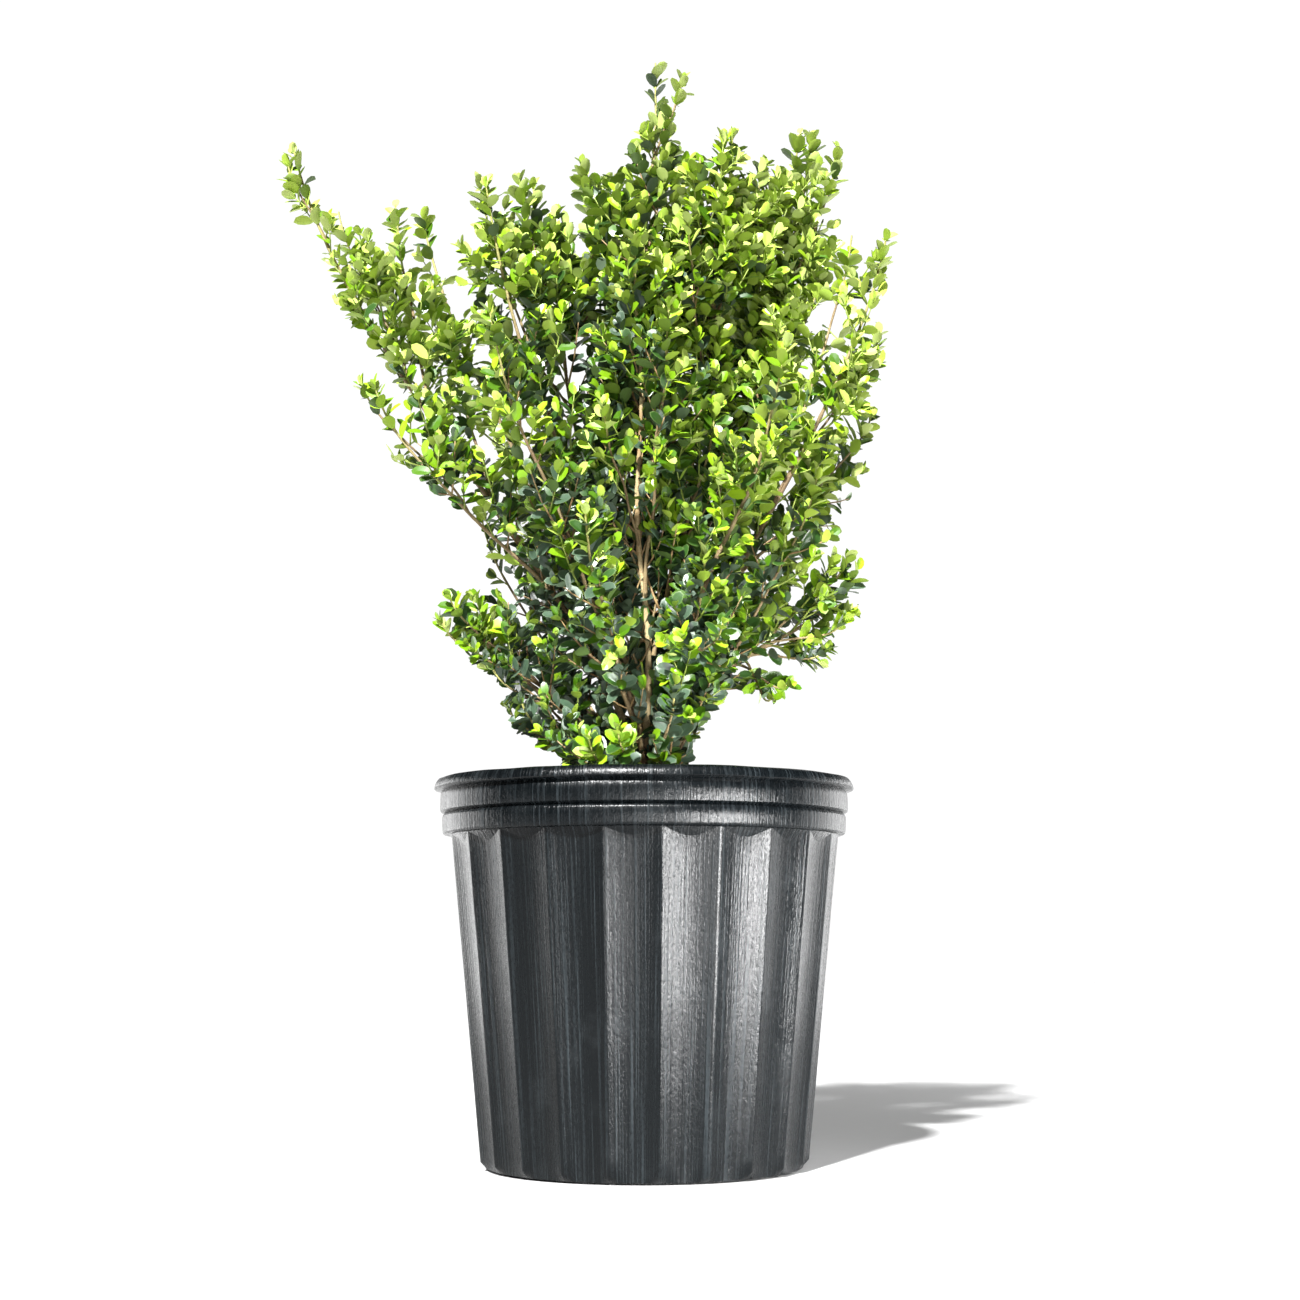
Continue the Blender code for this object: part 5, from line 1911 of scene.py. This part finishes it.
    @staticmethod
    def leaf_mesh(name: str, rows: np.ndarray, rimmed: bool) -> bpy.types.Mesh:
        """Leaves joined, from rows of root, direction, face, length, width and form.

        Args:
            name: The mesh's name.
            rows: The leaves.
            rimmed: Whether they have a pale margin.

        Returns:
            The mesh.
        """
        faces, kinds = LeafForm.faces(rimmed)
        forms = [LeafForm(*form, rimmed).points() for form in LEAF_FORMS]
        shapes = np.array(forms)[rows[:, 11].astype(int)]
        root, way, face = rows[:, None, 0:3], rows[:, None, 3:6], rows[:, None, 6:9]
        side = np.cross(rows[:, 3:6], rows[:, 6:9])[:, None, :]
        length, width = rows[:, None, 9:10], rows[:, None, 10:11]
        points = root + side * shapes[:, :, 0:1] * width / 2 + way * shapes[:, :, 1:2] * length
        points = points + face * shapes[:, :, 2:3] * length
        corners = shapes.shape[1]
        joined = (faces[None] + np.arange(len(rows))[:, None, None] * corners).reshape(-1, 3)
        made = mesh_from_arrays(name, points.reshape(-1, 3), joined, np.tile(kinds, len(rows)))
        pairs = np.empty(len(made.edges) * 2, np.int32)
        made.edges.foreach_get("vertices", pairs)
        pairs = pairs.reshape(-1, 2) % corners
        made.edges.foreach_set("use_edge_sharp", LeafForm.creases()[pairs[:, 0], pairs[:, 1]])
        return made

    def build(self) -> None:
        """Grows everything, then makes the joined pieces."""
        for number, limb in enumerate(self.limbs):
            self.limb_foliage(limb, 300 + number)
        masses = [name for name in node_names() if name.endswith("_foliage") or name in SHOOTS]
        young = [twig for twig in self.twigs if twig.green]
        woody = [twig for twig in self.twigs if not twig.green]
        green = TwigSkin("young_twig", (0.24, 0.30, 0.05), (0.14, 0.19, 0.03)).material()
        brown = TwigSkin("woody_twig", (0.28, 0.19, 0.08), (0.16, 0.09, 0.035)).material()
        dress(self.twig_mesh("young_twigs", young), "young_twigs", [green], masses)
        dress(self.twig_mesh("woody_twigs", woody), "woody_twigs", [brown], [])
        for tone, rows in self.leaves.items():
            name = tone.name.lower()
            upper, under, shine = tone.value
            top = LeafSkin(f"leaf_{name}", upper, shine).material()
            back = LeafSkin(f"leaf_{name}_under", under, shine * 0.6).material()
            for part, start in enumerate(range(0, len(rows), self.MOST), 1):
                label = f"leaves_{name}_{part}"
                chosen = np.array(rows[start : start + self.MOST])
                made = self.leaf_mesh(label, chosen, tone.rimmed)
                dress(made, label, [top, back], masses)
        LOG.info("%d leaves, %d twigs", sum(map(len, self.leaves.values())), len(self.twigs))


def node_names() -> list[str]:
    """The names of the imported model's nodes."""
    return sorted(item.name for item in bpy.data.objects if "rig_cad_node" in item)


# --- the studio -----------------------------------------------------------------------------


@dataclass(frozen=True)
class SoftBox:
    """A soft box: where it stands, what it faces, its size, its power and its grid's opening."""

    name: str
    spot: Spot
    aim: Spot
    size: tuple[float, float]
    power: float
    opening: float = 180.0

    def build(self) -> None:
        """Lights the box."""
        lamp = bpy.data.lights.new(self.name, "AREA")
        lamp.shape = "RECTANGLE"
        lamp.size, lamp.size_y = self.size
        lamp.energy = self.power
        lamp.spread = math.radians(self.opening)
        holder = stand(self.name, lamp)
        holder.location = self.spot
        holder.visible_camera = False
        toward = Vector(self.aim) - Vector(self.spot)
        holder.rotation_euler = toward.to_track_quat("-Z", "Y").to_euler()


@dataclass
class Studio:
    """A pale floor, a white surround, two suns, soft boxes and the camera."""

    floor_radius: float = 6.0
    surround: float = 0.06
    backdrop: float = 1.05
    key: float = 15.5
    fill: float = 0.4

    WALL: ClassVar[Spot] = (0.0, 0.0, 0.13)
    BOXES: ClassVar[tuple] = (
        SoftBox("left_box", (-0.85, 0.60, 0.24), WALL, (0.80, 0.50), 6.4),
        SoftBox("right_box", (0.85, 0.60, 0.24), WALL, (0.80, 0.50), 6.0),
        SoftBox("rear_panel", (0.0, 1.15, 0.30), (0.0, 0.0, 0.30), (1.6, 0.60), 3.4),
        SoftBox("slant_box", (0.36, -0.42, 0.11), (0.0, 0.0, 0.11), (0.15, 0.27), 2.5, 70.0),
        SoftBox("front_box", (0.06, -0.62, 0.10), WALL, (0.16, 0.26), 2.2),
        SoftBox("back_box", (0.4, 1.6, 1.7), (0.0, 0.0, 0.35), (1.0, 1.0), 5.0),
    )

    def floor(self) -> None:
        """The floor, which isn't part of the plant."""
        shape = bmesh.new()
        bmesh.ops.create_circle(shape, cap_ends=True, segments=96, radius=self.floor_radius)
        made = mesh_of(shape, "studio_floor", 0.5)
        made.materials.append(StudioFloor().material())
        floor = stand("studio_floor", made)
        floor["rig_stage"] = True

    def lights(self) -> None:
        """The surround, which only the camera sees bright, the suns and the soft boxes."""
        sheet = Sheet("white_surround", surround=True)
        seen = sheet.node("ShaderNodeLightPath", output="Is Camera Ray")
        levels = {"Value": seen, "To Min": self.surround, "To Max": self.backdrop}
        level = sheet.node("ShaderNodeMapRange", {}, levels)
        sky = sheet.node("ShaderNodeBackground", {}, {"Color": WHITE, "Strength": level})
        sheet.node("ShaderNodeOutputWorld", {}, {"Surface": sky})
        bpy.context.scene.world = sheet.owner
        self.sun("key_sun", SUN, self.key, 3.0)
        self.sun("soft_sun", Vector((0.35, -0.60, 1.0)), self.fill, 40.0)
        for box in self.BOXES:
            box.build()

    @staticmethod
    def sun(name: str, source: Vector, power: float, spread: float) -> None:
        """A light that is as strong all over the floor, from a disc some degrees wide."""
        lamp = bpy.data.lights.new(name, "SUN")
        lamp.energy = power
        lamp.angle = math.radians(spread)
        stand(name, lamp).rotation_euler = (-source).to_track_quat("-Z", "Y").to_euler()

    def camera(self) -> None:
        """The camera at the viewing angle."""
        lens = bpy.data.cameras.new("view")
        lens.lens = EYE_LENS
        lens.sensor_width = EYE_SENSOR
        view = stand("view", lens)
        view.location = EYE
        view.rotation_euler = (EYE_TILT, 0.0, 0.0)
        bpy.context.scene.camera = view

    def build(self) -> None:
        """Everything round the plant."""
        self.floor()
        self.lights()
        self.camera()
        bpy.context.scene.view_settings.view_transform = "Standard"


def main() -> None:
    """Builds the pot, the mix, the bark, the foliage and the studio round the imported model."""
    logging.basicConfig(level=logging.INFO, format="%(message)s")
    low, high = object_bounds()
    Studio().build()
    Pot().build()
    PottingMix().build()
    limbs = grow_limbs()
    BarkSkin(limbs).build()
    Foliage(limbs, LeafRoom(Vector(low), Vector(high), limbs[0])).build()


if __name__ == "__main__":
    for spare in list(bpy.data.objects):
        bpy.data.objects.remove(spare)
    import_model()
    main()
